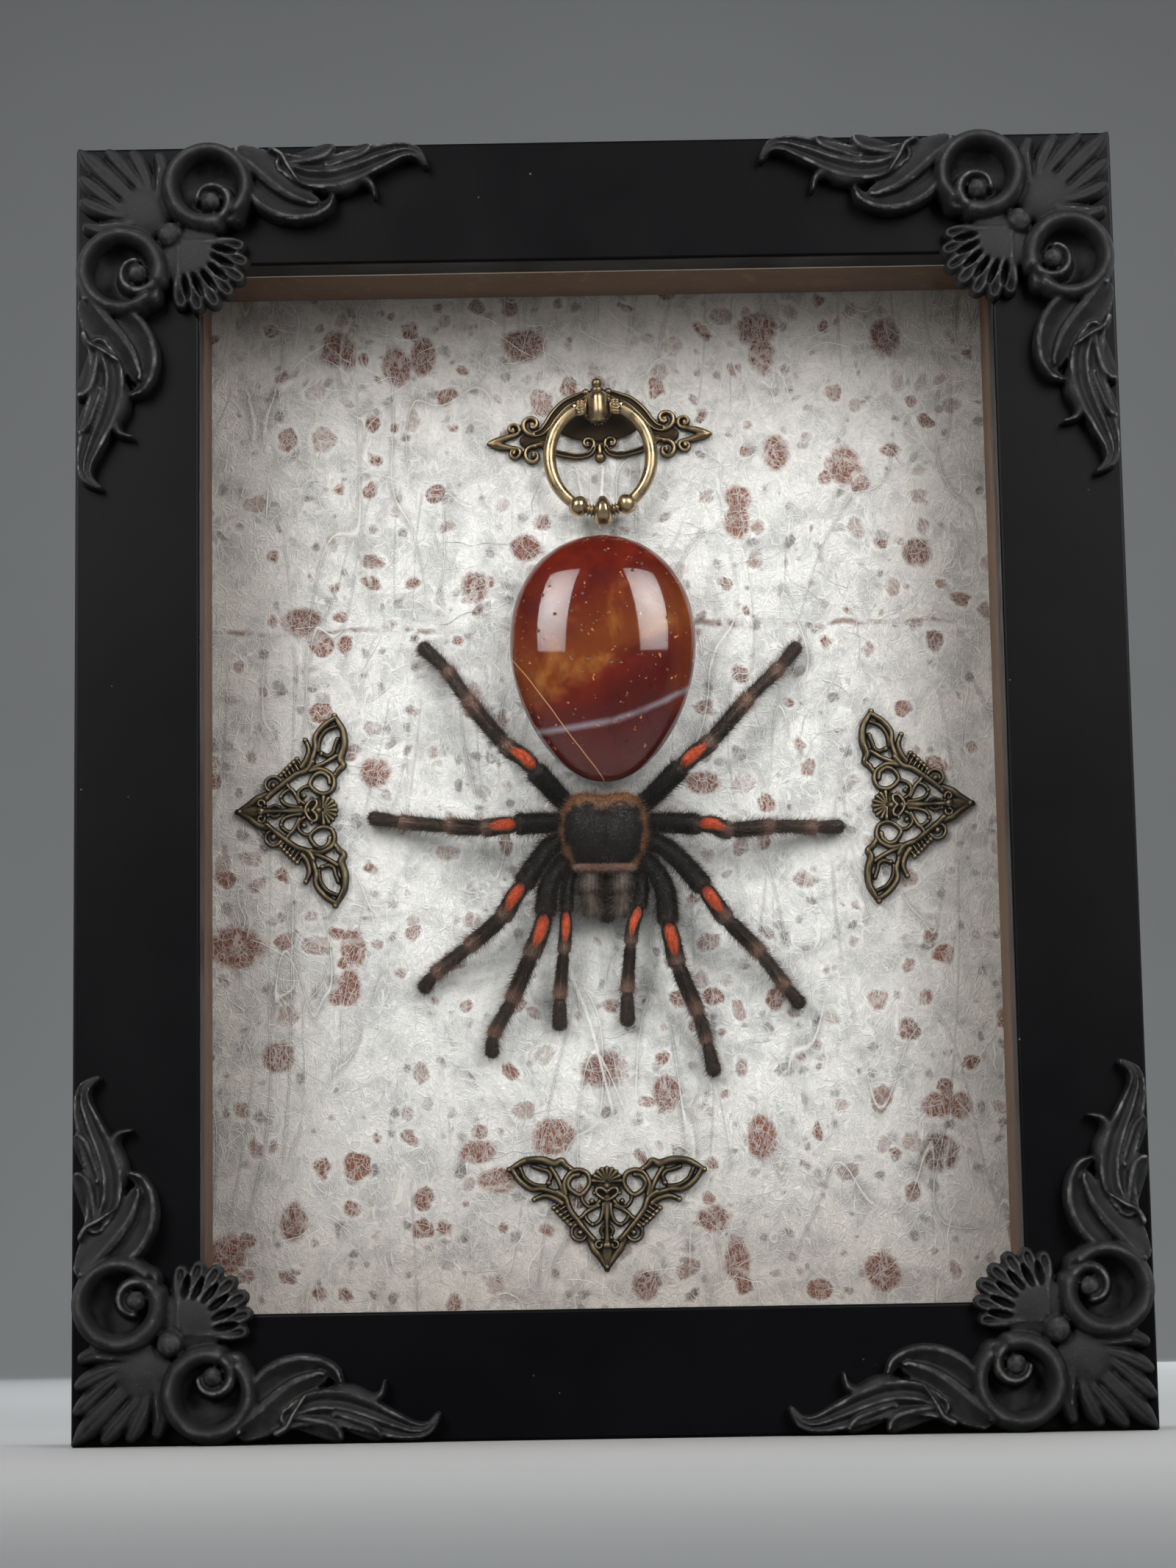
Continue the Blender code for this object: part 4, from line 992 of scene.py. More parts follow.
for knots in (
    [(24.8, 3.1, 0.6, 1.3), (22.8, 1.9, 0.8, 1.5), (20.6, 0.9, 0.9, 1.6), (17.0, 0.7, 1.0, 1.6),
        (13.6, 1.6, 1.0, 1.6), (11.7, 1.0, 0.9, 1.6), (10.5, 2.2, 0.8, 1.5), (8.6, 3.3, 0.6, 1.3)],
    even(0.75, 1.45, (24.3, 3.0), (23.7, 4.2), (22.2, 6.2), (19.5, 8.1), (16.4, 8.2), (13.6, 9.0),
        (11.2, 10.2)),
    even(0.55, 1.25, (22.2, 2.9), (21.0, 5.4), (18.6, 7.0), (15.8, 7.4)),
    even(0.6, 1.2, (18.8, 2.4), (16.8, 3.1), (15.2, 3.6), (14.4, 5.0), (15.0, 6.4)),
    even(0.65, 1.35, (14.4, 2.6), (12.6, 5.6), (11.2, 9.0), (10.3, 11.6)),
    [(18.3, 10.6, 0.6, 1.3), (16.0, 9.9, 0.7, 1.4), (13.6, 10.5, 0.8, 1.4), (11.6, 11.8, 0.8, 1.4)],
    even(0.8, 1.6, (12.8, 8.9), (10.6, 10.6), (9.5, 13.4), (7.2, 16.6), (4.8, 19.6), (3.5, 21.0)),
    even(0.65, 1.45, (10.5, 9.6), (10.9, 6.6), (9.4, 4.0), (7.2, 3.3), (5.0, 4.2), (4.4, 6.6), (5.6, 8.8),
        (7.2, 9.6), (9.2, 8.4), (9.9, 6.6), (8.8, 4.9), (7.2, 4.5)),
    even(0.55, 1.3, (6.4, 9.4), (6.2, 11.2), (4.9, 12.6), (3.0, 12.5), (1.9, 11.2)),
    even(0.6, 1.35, (2.2, 12.4), (5.0, 13.9), (6.3, 15.2), (7.4, 15.8)),
    even(0.55, 1.3, (0.9, 12.0), (1.2, 14.4), (2.0, 16.4), (3.6, 17.2), (5.0, 16.2), (5.6, 15.0)),
    around(6.9, 19.3, 2.3, 1.5, -60, 260, 12, 0.55, 1.45, 0.45),
    [(4.4, 21.0, 0.8, 1.4), (3.4, 23.4, 0.9, 1.5), (1.9, 25.4, 0.8, 1.4), (0.6, 27.6, 0.6, 1.2)],
    around(2.0, 22.4, 1.0, 0.6, -100, 190, 9, 0.42, 1.6, 0.36),
    even(0.5, 1.5, (0.0, 11.0), (1.4, 10.4), (2.7, 9.2), (2.5, 8.0), (1.2, 8.0), (0.0, 9.0)),
    even(0.5, 1.1, (1.0, 17.6), (1.5, 19.0), (0.7, 20.4)),
):
    lay_pair(filigree, knots)
lay_stroke(filigree, [(0, 10.6, 1.2, 1.3), (0, 14, 0.9, 1.4), (0, 18, 0.6, 1.4), (0, 21.6, 0.8, 1.5),
                      (0, 25.0, 1.5, 1.4), (0, 28.6, 0.7, 1.1)], crest, 6, 5.0)
for place in (
    (25.0, 3.2, 0.85, 1.5, 0.4), (18.6, 10.8, 0.8, 1.5, 0.4), (14.9, 6.6, 0.8, 1.6, 0.4),
    (6.9, 19.3, 0.9, 1.6, 0.5), (3.9, 11.2, 0.8, 1.6, 0.5), (3.7, 17.2, 0.7, 1.6, 0.4),
    (3.6, 20.8, 0.75, 1.7, 0.4), (1.15, 20.6, 0.55, 1.6, 0.4), (3.3, 9.2, 0.6, 1.6, 0.4),
    (9.4, 3.0, 0.6, 1.5, 0.4),
):
    lay_boss_pair(filigree, *place)
for bead in range(6):
    across, down = 13.6 - 0.86 * bead, 13.0 + 0.95 * bead - 0.02 * bead**2
    lay_boss_pair(filigree, across, down, 0.78, 1.65, 0.5)
    lay_pair(filigree, even(0.34, 1.3, (across - 0.2, down - 0.2), (across - 2.3, down - 1.5)))
for place in (
    (0.0, 6.6, 3.6, 1.2, 0.5, 0.9), (0.0, 7.4, 0.9, 1.8, 0.8), (0.0, 22.6, 1.2, 1.8, 0.8),
    (0.0, 28.0, 0.7, 1.5, 0.5),
):
    lay_boss(filigree, *place)
for rib in range(9):
    angle = math.radians(-90 + 21 * (rib - 4))
    lay_stroke(filigree, [(0.6 * math.cos(angle), 6.4 + 0.6 * math.sin(angle), 0.3, 1.5),
                          (3.5 * math.cos(angle), 6.4 + 3.5 * math.sin(angle), 0.62, 1.6)], crest, 3, 5.0)


def aged_metal(name, dark, worn, bright, polish):
    """Plated metal, darkened in its hollows and rubbed bright on what stands out."""
    made = start_material(name)
    edge = attribute("edge")
    patch = noise(place, 300.0, 3.0, 0.5)
    pock = noise(place, 2400.0, 3.0, 0.7)
    hollow = patch * 0.16 + edge - 0.08
    tone = blend(fade(hollow, 0.30, 0.52), dark, worn)
    tone = blend(fade(hollow, 0.54, 0.80), tone, bright)
    tone = blend(fade(pock, 0.64, 0.8, 0.0, 0.35), tone, dark)
    wear({
        "Base Color": tone,
        "Metallic": 1.0,
        "Roughness": fade(patch - edge * 0.6, -0.2, 0.4, polish, polish + 0.26),
        "Normal": bump(pock, 0.16, 0.00004),
    })
    return made


dark_bronze = aged_metal("dark_antique_bronze", (0.016, 0.012, 0.008), (0.085, 0.065, 0.038),
                         (0.40, 0.32, 0.20), 0.26)
filigree_mesh = settle(field_mesh("filigree", filigree), 0.15, 0.45)
for name, turn in (
    ("filigree_bottom", math.radians(0.8)),
    ("filigree_left", math.pi / 2),
    ("filigree_right", -math.pi / 2 - math.radians(0.8)),
):
    turned = filigree_mesh.copy()
    turned.transform(Matrix.Rotation(turn, 4, "Y"))
    spots = np.array([vertex.co for vertex in turned.vertices])
    packed_low, packed_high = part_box(name)
    shift = (packed_low + packed_high) / 2 - Vector((spots.min(0) + spots.max(0)) / 2)
    shift.y = packed_high.y
    turned.transform(Matrix.Translation(shift))
    mark_edges(turned, 2, 0.52, packed_high.y - 1.3 * MM, packed_high.y - 0.6 * MM)
    finish_piece(name + "_stamping", turned, dark_bronze, "frame", "dark_bronze", name)

# ---- the ring pull's back plate ----
# A pierced casting in antique brass: a ridged arch and a garland that curl into scrolls each
# side of a dished middle, a finial above, a drop below, and a pointed leaf at either end.

hinge = frame["joints"][0]
pivot = Vector(hinge["pos_m"])
pin_line = Vector(hinge["axis"])
lean = math.atan2(-pin_line.z, -pin_line.x)
plate_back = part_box("pull_backplate")[1].y
PIVOT_ABOVE_PLATE = 7.4
leaned = Matrix.Rotation(-lean, 4, "Y")
pull_at = pivot - leaned @ Vector((0.0, 0.0, PIVOT_ABOVE_PLATE * MM))
on_plate = Matrix.Translation((pull_at.x, plate_back, pull_at.z)) @ leaned

plate = flat_field((-30.2, -17.2), (30.2, 7.4), 0.14)


def ridged(side, way):
    """A band with a fine raised line along each edge and a groove between."""
    lines = np.exp(-((np.abs(side) - 0.62) / 0.22) ** 2)
    return 0.62 + 0.38 * lines


lay_boss(plate, 0.0, -4.6, 11.6, 0.85, 0.7, 0.46)
for knots in (
    even(1.7, 0.8, (12.6, -0.6), (16.0, -0.4), (19.4, -0.2)),
    around(17.6, -4.6, 2.75, 0.7, 95, -290, 20, 0.72, 1.6, 0.5),
    around(3.1, 1.2, 1.75, 0.6, 150, 460, 14, 0.5, 1.45, 0.4),
    around(17.6, 3.8, 2.6, 0.7, -100, 270, 20, 0.7, 1.6, 0.5),
    even(0.7, 1.35, (15.2, 0.8), (16.4, 0.9), (17.8, 1.2)),
    [(29.3, 0.0, 0.5, 1.2), (27.6, -0.35, 1.0, 1.6), (25.4, -1.2, 0.95, 1.5), (23.6, -1.7, 0.75, 1.4),
        (21.6, -2.2, 0.65, 1.4), (20.9, -3.4, 0.55, 1.4)],
    [(29.3, 0.0, 0.5, 1.2), (27.6, 0.35, 1.0, 1.6), (25.4, 1.0, 0.95, 1.5), (23.6, 1.4, 0.75, 1.4),
        (21.6, 1.8, 0.65, 1.4), (20.9, 2.8, 0.55, 1.4)],
    around(22.7, -3.5, 1.75, 0.5, 160, 480, 14, 0.55, 1.5, 0.42),
    around(22.7, 2.9, 1.7, 0.5, 200, -120, 14, 0.55, 1.5, 0.42),
    even(0.75, 1.35, (1.0, -12.6), (1.9, -11.9), (3.0, -12.4)),
):
    lay_pair(plate, knots)
lay_pair(plate, [(3.2, -12.2, 1.0, 1.3), (5.4, -11.2, 1.35, 1.45), (8.6, -9.7, 1.45, 1.45), (11.5, -6.9, 1.45, 1.45),
                 (13.7, -3.9, 1.3, 1.45), (15.4, -2.4, 1.1, 1.45), (17.6, -1.9, 0.85, 1.5)], ridged, 8)
lay_pair(plate, [(15.2, 0.6, 1.0, 1.2), (13.4, 2.2, 0.85, 1.35), (11.0, 3.4, 0.8, 1.4), (7.0, 4.35, 0.8, 1.4),
                 (4.4, 4.4, 0.8, 1.4), (2.4, 3.7, 0.75, 1.4), (1.5, 2.2, 0.65, 1.4)], ridged, 8)
lay_stroke(plate, [(0, -9.6, 2.8, 1.2), (0, -12.2, 2.1, 1.4), (0, -13.2, 1.2, 1.4), (0, -14.2, 1.0, 1.4)], crest, 6)
lay_boss(plate, 0.0, -13.4, 1.45, 1.7, 0.7, 0.8)
lay_stroke(plate, [(0, 1.8, 0.5, 1.2), (0, 3.6, 0.7, 1.3)], crest, 4)
for across, down, radius, top in (
    (17.6, -4.6, 0.8, 1.65), (17.6, 3.8, 0.75, 1.65), (22.7, -3.5, 0.6, 1.6), (22.7, 2.9, 0.6, 1.6),
    (3.1, 1.2, 0.6, 1.6), (3.0, -12.7, 1.05, 1.65),
):
    lay_boss_pair(plate, across, down, radius, top, 0.6)
lay_boss(plate, 0.0, 5.1, 1.5, 1.7, 0.3)
lay_boss(plate, 0.0, -15.2, 1.35, 1.75, 0.6)
lay_stroke(plate, around(0.0, -8.2, 3.9, 3.9, 0, 360, 24, 0.55, 1.5), crest, 3)
COLLAR_BEADS = 22
for bead in range(COLLAR_BEADS):
    angle = 2 * math.pi * (bead + 0.5) / COLLAR_BEADS
    lay_boss(plate, 3.3 * math.cos(angle), -8.2 + 4.5 * math.sin(angle), 0.42, 1.7, 1.0)

antique_brass = aged_metal("antique_brass", (0.030, 0.020, 0.011), (0.190, 0.135, 0.068),
                           (0.47, 0.36, 0.215), 0.22)
plate_mesh = settle(field_mesh("plate", plate), 0.16, 0.6)
plate_mesh.transform(on_plate)
mark_edges(plate_mesh, 2, 0.52, plate_back - 1.25 * MM, plate_back - 0.75 * MM)
finish_piece("pull_backplate_casting", plate_mesh, antique_brass, "frame", "antique_brass", "pull_backplate")

# ---- the post and the ring ----
# The post is a turned barrel, drilled through for the ring's pins. The ring is one casting that
# swings on it: fluted ferrules, a tapering hoop, two balls and a barrel between double collars.


def tube_faces(rings, sides):
    """Quads round a tube of rings, with a face over either end."""
    faces = []
    for ring in range(rings - 1):
        for side in range(sides):
            after = (side + 1) % sides
            near, far = ring * sides, (ring + 1) * sides
            faces.append((near + side, near + after, far + after, far + side))
    return faces + [tuple(range(sides)), tuple(range((rings - 1) * sides, rings * sides))]


def swept(path, radii, sides):
    """A closed round bar along a path (points in mm), capped at both ends."""
    path = np.array(path, float)
    radii = np.array(radii, float)
    ahead = np.gradient(path, axis=0)
    ahead /= np.linalg.norm(ahead, axis=1)[:, None]
    across = np.cross(ahead[0], (0.0, 1.0, 0.0) if abs(ahead[0][1]) < 0.9 else (1.0, 0.0, 0.0))
    rings = []
    for spot, way, radius in zip(path, ahead, radii):
        across = across - way * across.dot(way)
        across /= np.linalg.norm(across)
        up = np.cross(across, way)
        turn = np.linspace(0, 2 * math.pi, sides, endpoint=False)[:, None]
        rings.append(spot + np.atleast_1d(radius)[..., None] * (np.cos(turn) * across + np.sin(turn) * up))
    faces = tube_faces(len(path), sides)
    faces[-2] = faces[-2][::-1]
    mesh = rework(grid_mesh("swept", np.concatenate(rings) * MM, faces))
    mesh.shade_smooth()
    return mesh


def join_meshes(name, meshes):
    shape = bmesh.new()
    for mesh in meshes:
        shape.from_mesh(mesh)
    joined = bpy.data.meshes.new(name)
    shape.to_mesh(joined)
    shape.free()
    joined.shade_smooth()
    return joined


POST_LENGTH = 8.8
POST_RISE = 5.6
post_rings = []
post_radii = []
for step in range(49):
    share = step / 48
    up = POST_LENGTH * (share - 0.5)
    body = (1 - abs(2 * share - 1) ** 3.8) ** 0.5
    lip = 0.2 * math.exp(-((abs(up) - 3.7) / 0.16) ** 2)
    post_rings.append((0.0, 0.0, up))
    post_radii.append(max(0.25, 2.75 * body + lip))
barrel = swept(post_rings, post_radii, 40)
barrel.transform(Matrix.Diagonal((1.0, 1.42, 1.0, 1.0)))
stub = swept([(0.0, 3.4 - back, 0.0) for back in (0.4, 1.2, 1.6, 2.2, 3.2)], (2.3, 2.3, 2.0, 1.8, 1.8), 32)
stub.transform(Matrix.Diagonal((1.0, 1.0, 1.35, 1.0)))
stub.transform(Matrix.Translation((0.0, (POST_RISE - 3.4) * MM, 0.0)))
post_mesh = join_meshes("post", (barrel, stub))
post_mesh.transform(on_plate @ Matrix.Translation((0.0, -POST_RISE * MM, PIVOT_ABOVE_PLATE * MM)))
mark_edges(post_mesh, 12, 0.60)
finish_piece("pull_post_turning", post_mesh, antique_brass, "frame", "antique_brass", "pull_post")

HOOP_DOWN = 13.6
HOOP_ACROSS = 13.4
HOOP_HIGH = 14.6
FERRULE_END = 27.0
BULGES = ((180.0, 10.2, 4.1, 3.0), (167.8, 1.6, 1.75, 2.0), (164.0, 1.6, 1.75, 2.0), (152.0, 10.2, 2.75, 2.2))


def hoop_radius(angle):
    """Half thickness at an angle from straight up: the hoop's own swell, then its turned bulges."""
    radius = 1.2 + 0.52 * math.sin(math.radians(min(angle, 150.0))) ** 0.8
    if angle > 156:
        radius = 1.15
    for middle, spread, size, fullness in BULGES:
        offset = abs(angle - middle) / spread
        if offset < 1.0:
            radius = max(radius, size * math.sqrt(1.0 - offset**fullness))
    return radius


half_path = []
half_radii = []
for across, radius in ((1.2, 0.66), (2.9, 0.66), (2.95, 1.3), (3.1, 1.75)):
    half_path.append((across, 0.0))
    half_radii.append(radius)
for step in range(9):
    half_path.append((3.3 + 0.33 * step, -0.03 * step))
    half_radii.append(1.85 - 0.14 * (step % 2))
for step in range(int((180.0 - FERRULE_END) / 0.75) + 1):
    angle = FERRULE_END + 0.75 * step
    turn = math.radians(angle)
    half_path.append((HOOP_ACROSS * math.sin(turn), -HOOP_DOWN + HOOP_HIGH * math.cos(turn)))
    half_radii.append(hoop_radius(angle))
path = [(-across, 0.0, up) for across, up in half_path] + [(across, 0.0, up) for across, up in half_path[-2::-1]]
ring_mesh = swept(path, half_radii + half_radii[-2::-1], 28)
FLUTES = 14
ferrule_marks = []
for side in (-1, 1):
    for index in range(FLUTES):
        angle = 2 * math.pi * index / FLUTES
        start = (side * 3.4, 1.80 * math.cos(angle), 1.80 * math.sin(angle))
        end = (side * 6.0, 1.80 * math.cos(angle), 1.80 * math.sin(angle) - 0.2)
        middle = tuple((a + b) / 2 for a, b in zip(start, end))
        ferrule_marks.append(swept((start, middle, end), (0.16, 0.26, 0.16), 8))
ring_mesh = join_meshes("ring", [ring_mesh] + ferrule_marks)
ring_mesh.transform(Matrix.Translation(pivot) @ leaned)
mark_edges(ring_mesh, 12, 0.60)
finish_piece("pull_ring_casting", ring_mesh, antique_brass, "ring", "antique_brass", "pull_ring")

# ---- the loose fibres of the paper ----
# Single long fibres that lie on the sheet every way, some bridging its thin places. Six shapes
# are laid over the sheet by the tree above.

fibre_shapes = bpy.data.collections.new("fibre shapes")
for index, fibre_path in enumerate(fibre_paths):
    fibre_line = [(across, 0.0, up) for across, up, _ in fibre_path]
    thickness = np.interp(np.linspace(0, 1, len(fibre_line)), (0.0, 0.2, 0.8, 1.0), (0.02, 0.075, 0.065, 0.02))
    fibre_mesh = swept(fibre_line, thickness, 3)
    fibre_shapes.objects.link(bpy.data.objects.new(f"fibre_{index}", fibre_mesh))
bed_low = (paper_low.x + 12 * MM, paper_low.z + 12 * MM)
bed_high = (paper_high.x - 12 * MM, paper_high.z - 12 * MM)
bed_y = paper_low.y + 0.42 * MM
bed_spots = [(x, bed_y, z) for x, z in (bed_low, (bed_high[0], bed_low[1]), bed_high, (bed_low[0], bed_high[1]))]
FIBRES_PER_SQUARE_METRE = 21000.0
fibre_cover = run_tree("fibre_bed", grid_mesh("fibre_bed", bed_spots, [(0, 1, 2, 3)]), laid_tree, {
    "Fibres": fibre_shapes, "Density": FIBRES_PER_SQUARE_METRE, "Seed": 8, "Material": loose_fibre,
})
finish_piece("loose_paper_fibres", fibre_cover, loose_fibre, "frame", "lace_paper")
for shape in list(fibre_shapes.objects):
    bpy.data.objects.remove(shape)

# ---- the stone ----
# A polished carnelian cabochon: red-brown with an amber cloud, a soft blue-white band and one
# hair-thin golden vein, small pits and flecks under a glassy polish.

STONE_TAPER = 0.14
stone_low, stone_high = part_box("stone_abdomen")
stone_middle = Vector(((stone_low.x + stone_high.x) / 2, 0.0, (stone_low.z + stone_high.z) / 2))
half_high = (stone_high.z - stone_low.z) / 2
stone_shape = bmesh.new()
bmesh.ops.create_uvsphere(stone_shape, u_segments=144, v_segments=96, radius=1.0)
for vertex in stone_shape.verts:
    swell = 1.0 + STONE_TAPER * vertex.co.z
    vertex.co.x *= swell
    vertex.co.y *= swell * (0.92 if vertex.co.y > 0 else 1.0)
widest = max(vertex.co.x for vertex in stone_shape.verts)
deepest = max(vertex.co.y for vertex in stone_shape.verts)
scale_x = (stone_high.x - stone_low.x) / 2 / widest
nearest = min(vertex.co.y for vertex in stone_shape.verts)
scale_y = (stone_high.y - stone_low.y) / (deepest - nearest)
for vertex in stone_shape.verts:
    vertex.co.x = stone_middle.x + vertex.co.x * scale_x
    vertex.co.y = stone_high.y + (vertex.co.y - deepest) * scale_y
    vertex.co.z = stone_middle.z + vertex.co.z * half_high
stone_mesh = bpy.data.meshes.new("stone")
stone_shape.to_mesh(stone_mesh)
stone_shape.free()
stone_mesh.shade_smooth()

carnelian = start_material("polished_carnelian")
inside = vector("ADD", place, tuple(-value for value in stone_middle))
warp = vector("SUBTRACT", noise(inside, 45.0, 3.0, 0.5, output="Color"), (0.5, 0.5, 0.5))
parts = axes(vector("ADD", inside, vector("MULTIPLY", warp, (0.007, 0.007, 0.007))))
exact = axes(inside)
x, z = parts["X"], parts["Z"]
smoke = noise(inside, 75.0, 4.0, 0.6, 0.4)
fine = noise(inside, 420.0, 4.0, 0.7)
tone = blend(fade(smoke, 0.3, 0.7), (0.060, 0.0034, 0.0014), (0.125, 0.0095, 0.0022))
# The cloud lies along a line that climbs from lower left to upper right, and fades below it.
slope = z - (x * 0.55 - 0.0035)
above = fade(smoke * 0.010 + slope - 0.005, -0.003, 0.0045)
near = fade(smoke * -0.012 + slope + 0.006, 0.003, 0.026, 1.0, 0.0)
cloud = above * near
tone = blend(cloud * 0.8, tone, (0.150, 0.034, 0.005))
glow = cloud * fade(smoke, 0.48, 0.66)
tone = blend(glow * 0.75, tone, (0.27, 0.105, 0.022))
low_side = fade(slope, -0.001, -0.010) * 0.75
tone = blend(low_side, tone, (0.046, 0.0018, 0.0012))
side_wash = fade(abs(x), 0.015, 0.023)
tone = blend(side_wash * fade(smoke, 0.4, 0.6, 0.1, 0.75), tone, (0.135, 0.024, 0.004))
bend = x * x * 8.7 + x * 0.22 - 0.0183
band_away = abs(exact["Z"] - ((z - exact["Z"]) * 0.25 + bend))
band = fade(fine * 0.0006 + band_away, 0.0, 0.0017, 1.0, 0.0)
band = band * fade(smoke, 0.3, 0.6, 0.35, 0.75)
tone = blend(band, tone, (0.26, 0.24, 0.28))
chips = noise(inside, 560.0, 2.0, 0.55)
clump = noise(inside, 110.0, 2.0)
flecks = fade(chips, 0.67, 0.71) * fade(clump, 0.45, 0.54)
tone = blend(flecks * 0.85, tone, (0.50, 0.20, 0.09))
vein_line = exact["Z"] * 0.73 + (x - exact["X"]) * 0.35 + exact["X"] + 0.0236
vein = fade(abs(vein_line), 0.00004, 0.00022, 1.0, 0.0)
vein = vein * fade(exact["Z"], -0.001, 0.0005, 1.0, 0.0)
tone = blend(vein * 0.85, tone, (0.55, 0.30, 0.14))
pit_mask = fade(cells(inside, 330.0), 0.10, 0.17, 1.0, 0.0) * fade(clump, 0.46, 0.5)
wear({
    "Base Color": blend(pit_mask * 0.7, tone, (0.05, 0.012, 0.006)),
    "Roughness": pit_mask * 0.4 + 0.07,
    "IOR": 1.54,
    "Specular IOR Level": 0.35,
    "Coat Weight": 1.0 - pit_mask,
    "Coat Roughness": 0.02,
    "Coat IOR": 1.5,
    "Subsurface Weight": 0.12,
    "Subsurface Scale": 0.004,
    "Normal": bump(1.0 - pit_mask, 0.9, 0.0001),
    "Coat Normal": bump(1.0 - pit_mask, 0.9, 0.0001),
})
finish_piece("carnelian_abdomen", stone_mesh, carnelian, "frame", "carnelian", "stone_abdomen")

# ---- the spider's coat ----
# Chitin under dense velvet and longer guard hairs. Each skin stores its own colour, the way its
# hairs lie and how long they are; one node tree plants both kinds of hair on any of the skins.


def fur_branch(label, sides_along, hair_bend):
    """Hairs of one kind on the skin, from the group's inputs of that kind."""
    plant = node("GeometryNodeDistributePointsOnFaces", {
        "Mesh": given["Geometry"], "Density": given[f"{label} Density"], "Seed": given[f"{label} Seed"]})
    flow = node("GeometryNodeInputNamedAttribute", {"Name": "flow"}, data_type="FLOAT_VECTOR")
    fur = node("GeometryNodeInputNamedAttribute", {"Name": "fur"}, data_type="FLOAT")
    stray = node("FunctionNodeRandomValue", {"Min": (-1.0, -1.0, -1.0), "Max": (1.0, 1.0, 1.0), "Seed": 3},
                 data_type="FLOAT_VECTOR")
    stray = vector("SCALE", stray, given[f"{label} Stray"])
    lifted = vector("SCALE", plant["Normal"], given[f"{label} Lift"])
    way = vector("ADD", vector("ADD", flow, lifted), stray)
    aim = node("FunctionNodeAlignRotationToVector", {"Vector": way}, axis="Z")
    twist = turn_about("Z", chance(0.0, 6.28, 5))
    aim = node("FunctionNodeRotateRotation", {0: aim, 1: twist}, rotation_space="LOCAL")
    cone = node("GeometryNodeMeshCone", {"Vertices": 3, "Side Segments": sides_along, "Radius Top": 0.0,
                                         "Radius Bottom": 1.0, "Depth": 1.0})["Mesh"]
    height = axes(node("GeometryNodeInputPosition"))["Z"]
    cone = node("GeometryNodeStoreNamedAttribute", {"Geometry": cone, "Name": "tip", "Value": height},
                data_type="FLOAT", domain="POINT")
    curve = node("ShaderNodeCombineXYZ", {"X": calc("POWER", height, 2.0) * hair_bend})
    cone = node("GeometryNodeSetPosition", {"Geometry": cone, "Offset": curve})
    length = fur * given[f"{label} Length"] * chance(0.55, 1.2, 7)
    thickness = given[f"{label} Thickness"]
    planted = node("GeometryNodeInstanceOnPoints", {
        "Points": plant["Points"], "Instance": cone, "Rotation": aim,
        "Scale": node("ShaderNodeCombineXYZ", {"X": thickness, "Y": thickness, "Z": length})})
    shade = chance(0.0, given[f"{label} Pale"], 9)
    return node("GeometryNodeStoreNamedAttribute", {"Geometry": planted, "Name": "shade", "Value": shade},
                data_type="FLOAT", domain="INSTANCE")


def join_shapes(*shapes):
    joined = node("GeometryNodeJoinGeometry")
    for shape in shapes:
        tree.links.new(shape.socket, joined.socket.node.inputs[0])
    return joined


fur_inputs = {}
for label in ("Velvet", "Guard"):
    for kind in ("Density", "Length", "Thickness", "Lift", "Stray", "Pale"):
        fur_inputs[f"{label} {kind}"] = "Float"
    fur_inputs[f"{label} Seed"] = "Int"
given = start_tree("fur coat", {**fur_inputs, "Coat": "Material"})
hairs = join_shapes(fur_branch("Velvet", 1, 0.0), fur_branch("Guard", 2, 3.0))
real = node("GeometryNodeRealizeInstances", {0: hairs})
fur_tree = end_tree(join_shapes(real, given["Geometry"]), given["Coat"])

hairy_coat = start_material("hairy_coat")
coat = attribute("coat", "Color")
tip = attribute("tip")
shade = attribute("shade")
dapple = noise(place, 900.0, 3.0)
tone = blend(fade(shade, 0.0, 0.5, 0.0, 0.35), coat, (0.0, 0.0, 0.0), "MULTIPLY")
tone = blend(fade(dapple, 0.35, 0.7, 0.0, 0.35), tone, (0.004, 0.003, 0.003))
bright_tip = calc("POWER", tip, 1.2) * shade
wear({
    "Base Color": blend(bright_tip, tone, (0.27, 0.20, 0.155)),
    "Roughness": fade(dapple, 0.3, 0.7, 0.42, 0.6),
    "Specular IOR Level": 0.28,
})


def grow_fur(name, skin, velvet_hairs, guard_hairs, guard_length=2.4, stray=0.35, lift=0.5):
    """Plant a number of hairs of each kind on a skin and return the whole as one plain mesh."""
    area = sum(polygon.area for polygon in skin.polygons)
    mesh = run_tree(name, skin, fur_tree, {
        "Velvet Density": velvet_hairs / area, "Velvet Length": 1.0, "Velvet Thickness": 0.042 * MM,
        "Velvet Lift": lift, "Velvet Stray": stray, "Velvet Seed": 1, "Velvet Pale": 0.18,
        "Guard Density": guard_hairs / area, "Guard Length": guard_length, "Guard Thickness": 0.048 * MM,
        "Guard Lift": 1.35, "Guard Stray": 0.55, "Guard Seed": 2, "Guard Pale": 1.0, "Coat": hairy_coat,
    })
    mesh.shade_smooth()
    return mesh


def skin_mesh(name, spots, faces, coat_colours, flows, furs):
    """A closed skin, with the colour of its coat, the way its hairs lie and their length."""
    mesh = rework(grid_mesh(name, spots, faces))
    store(mesh, "coat", np.concatenate([coat_colours, np.ones((len(coat_colours), 1))], 1), "FLOAT_COLOR")
    store(mesh, "flow", flows, "FLOAT_VECTOR")
    store(mesh, "fur", furs)
    return mesh


def mixed(first, second, share):
    share = np.clip(share, 0.0, 1.0)[..., None]
    return np.array(first) * (1 - share) + np.array(second) * share


def soft_step(value, low, high):
    t = np.clip((value - low) / (high - low), 0.0, 1.0)
    return t * t * (3 - 2 * t)


# ---- the legs and palps ----
# Each limb is a chain of hollow segments: jet-black femur, knee with its flame-orange patch,
# streaked tibia and metatarsus that end in pale bands, and a blunt furry tarsus.

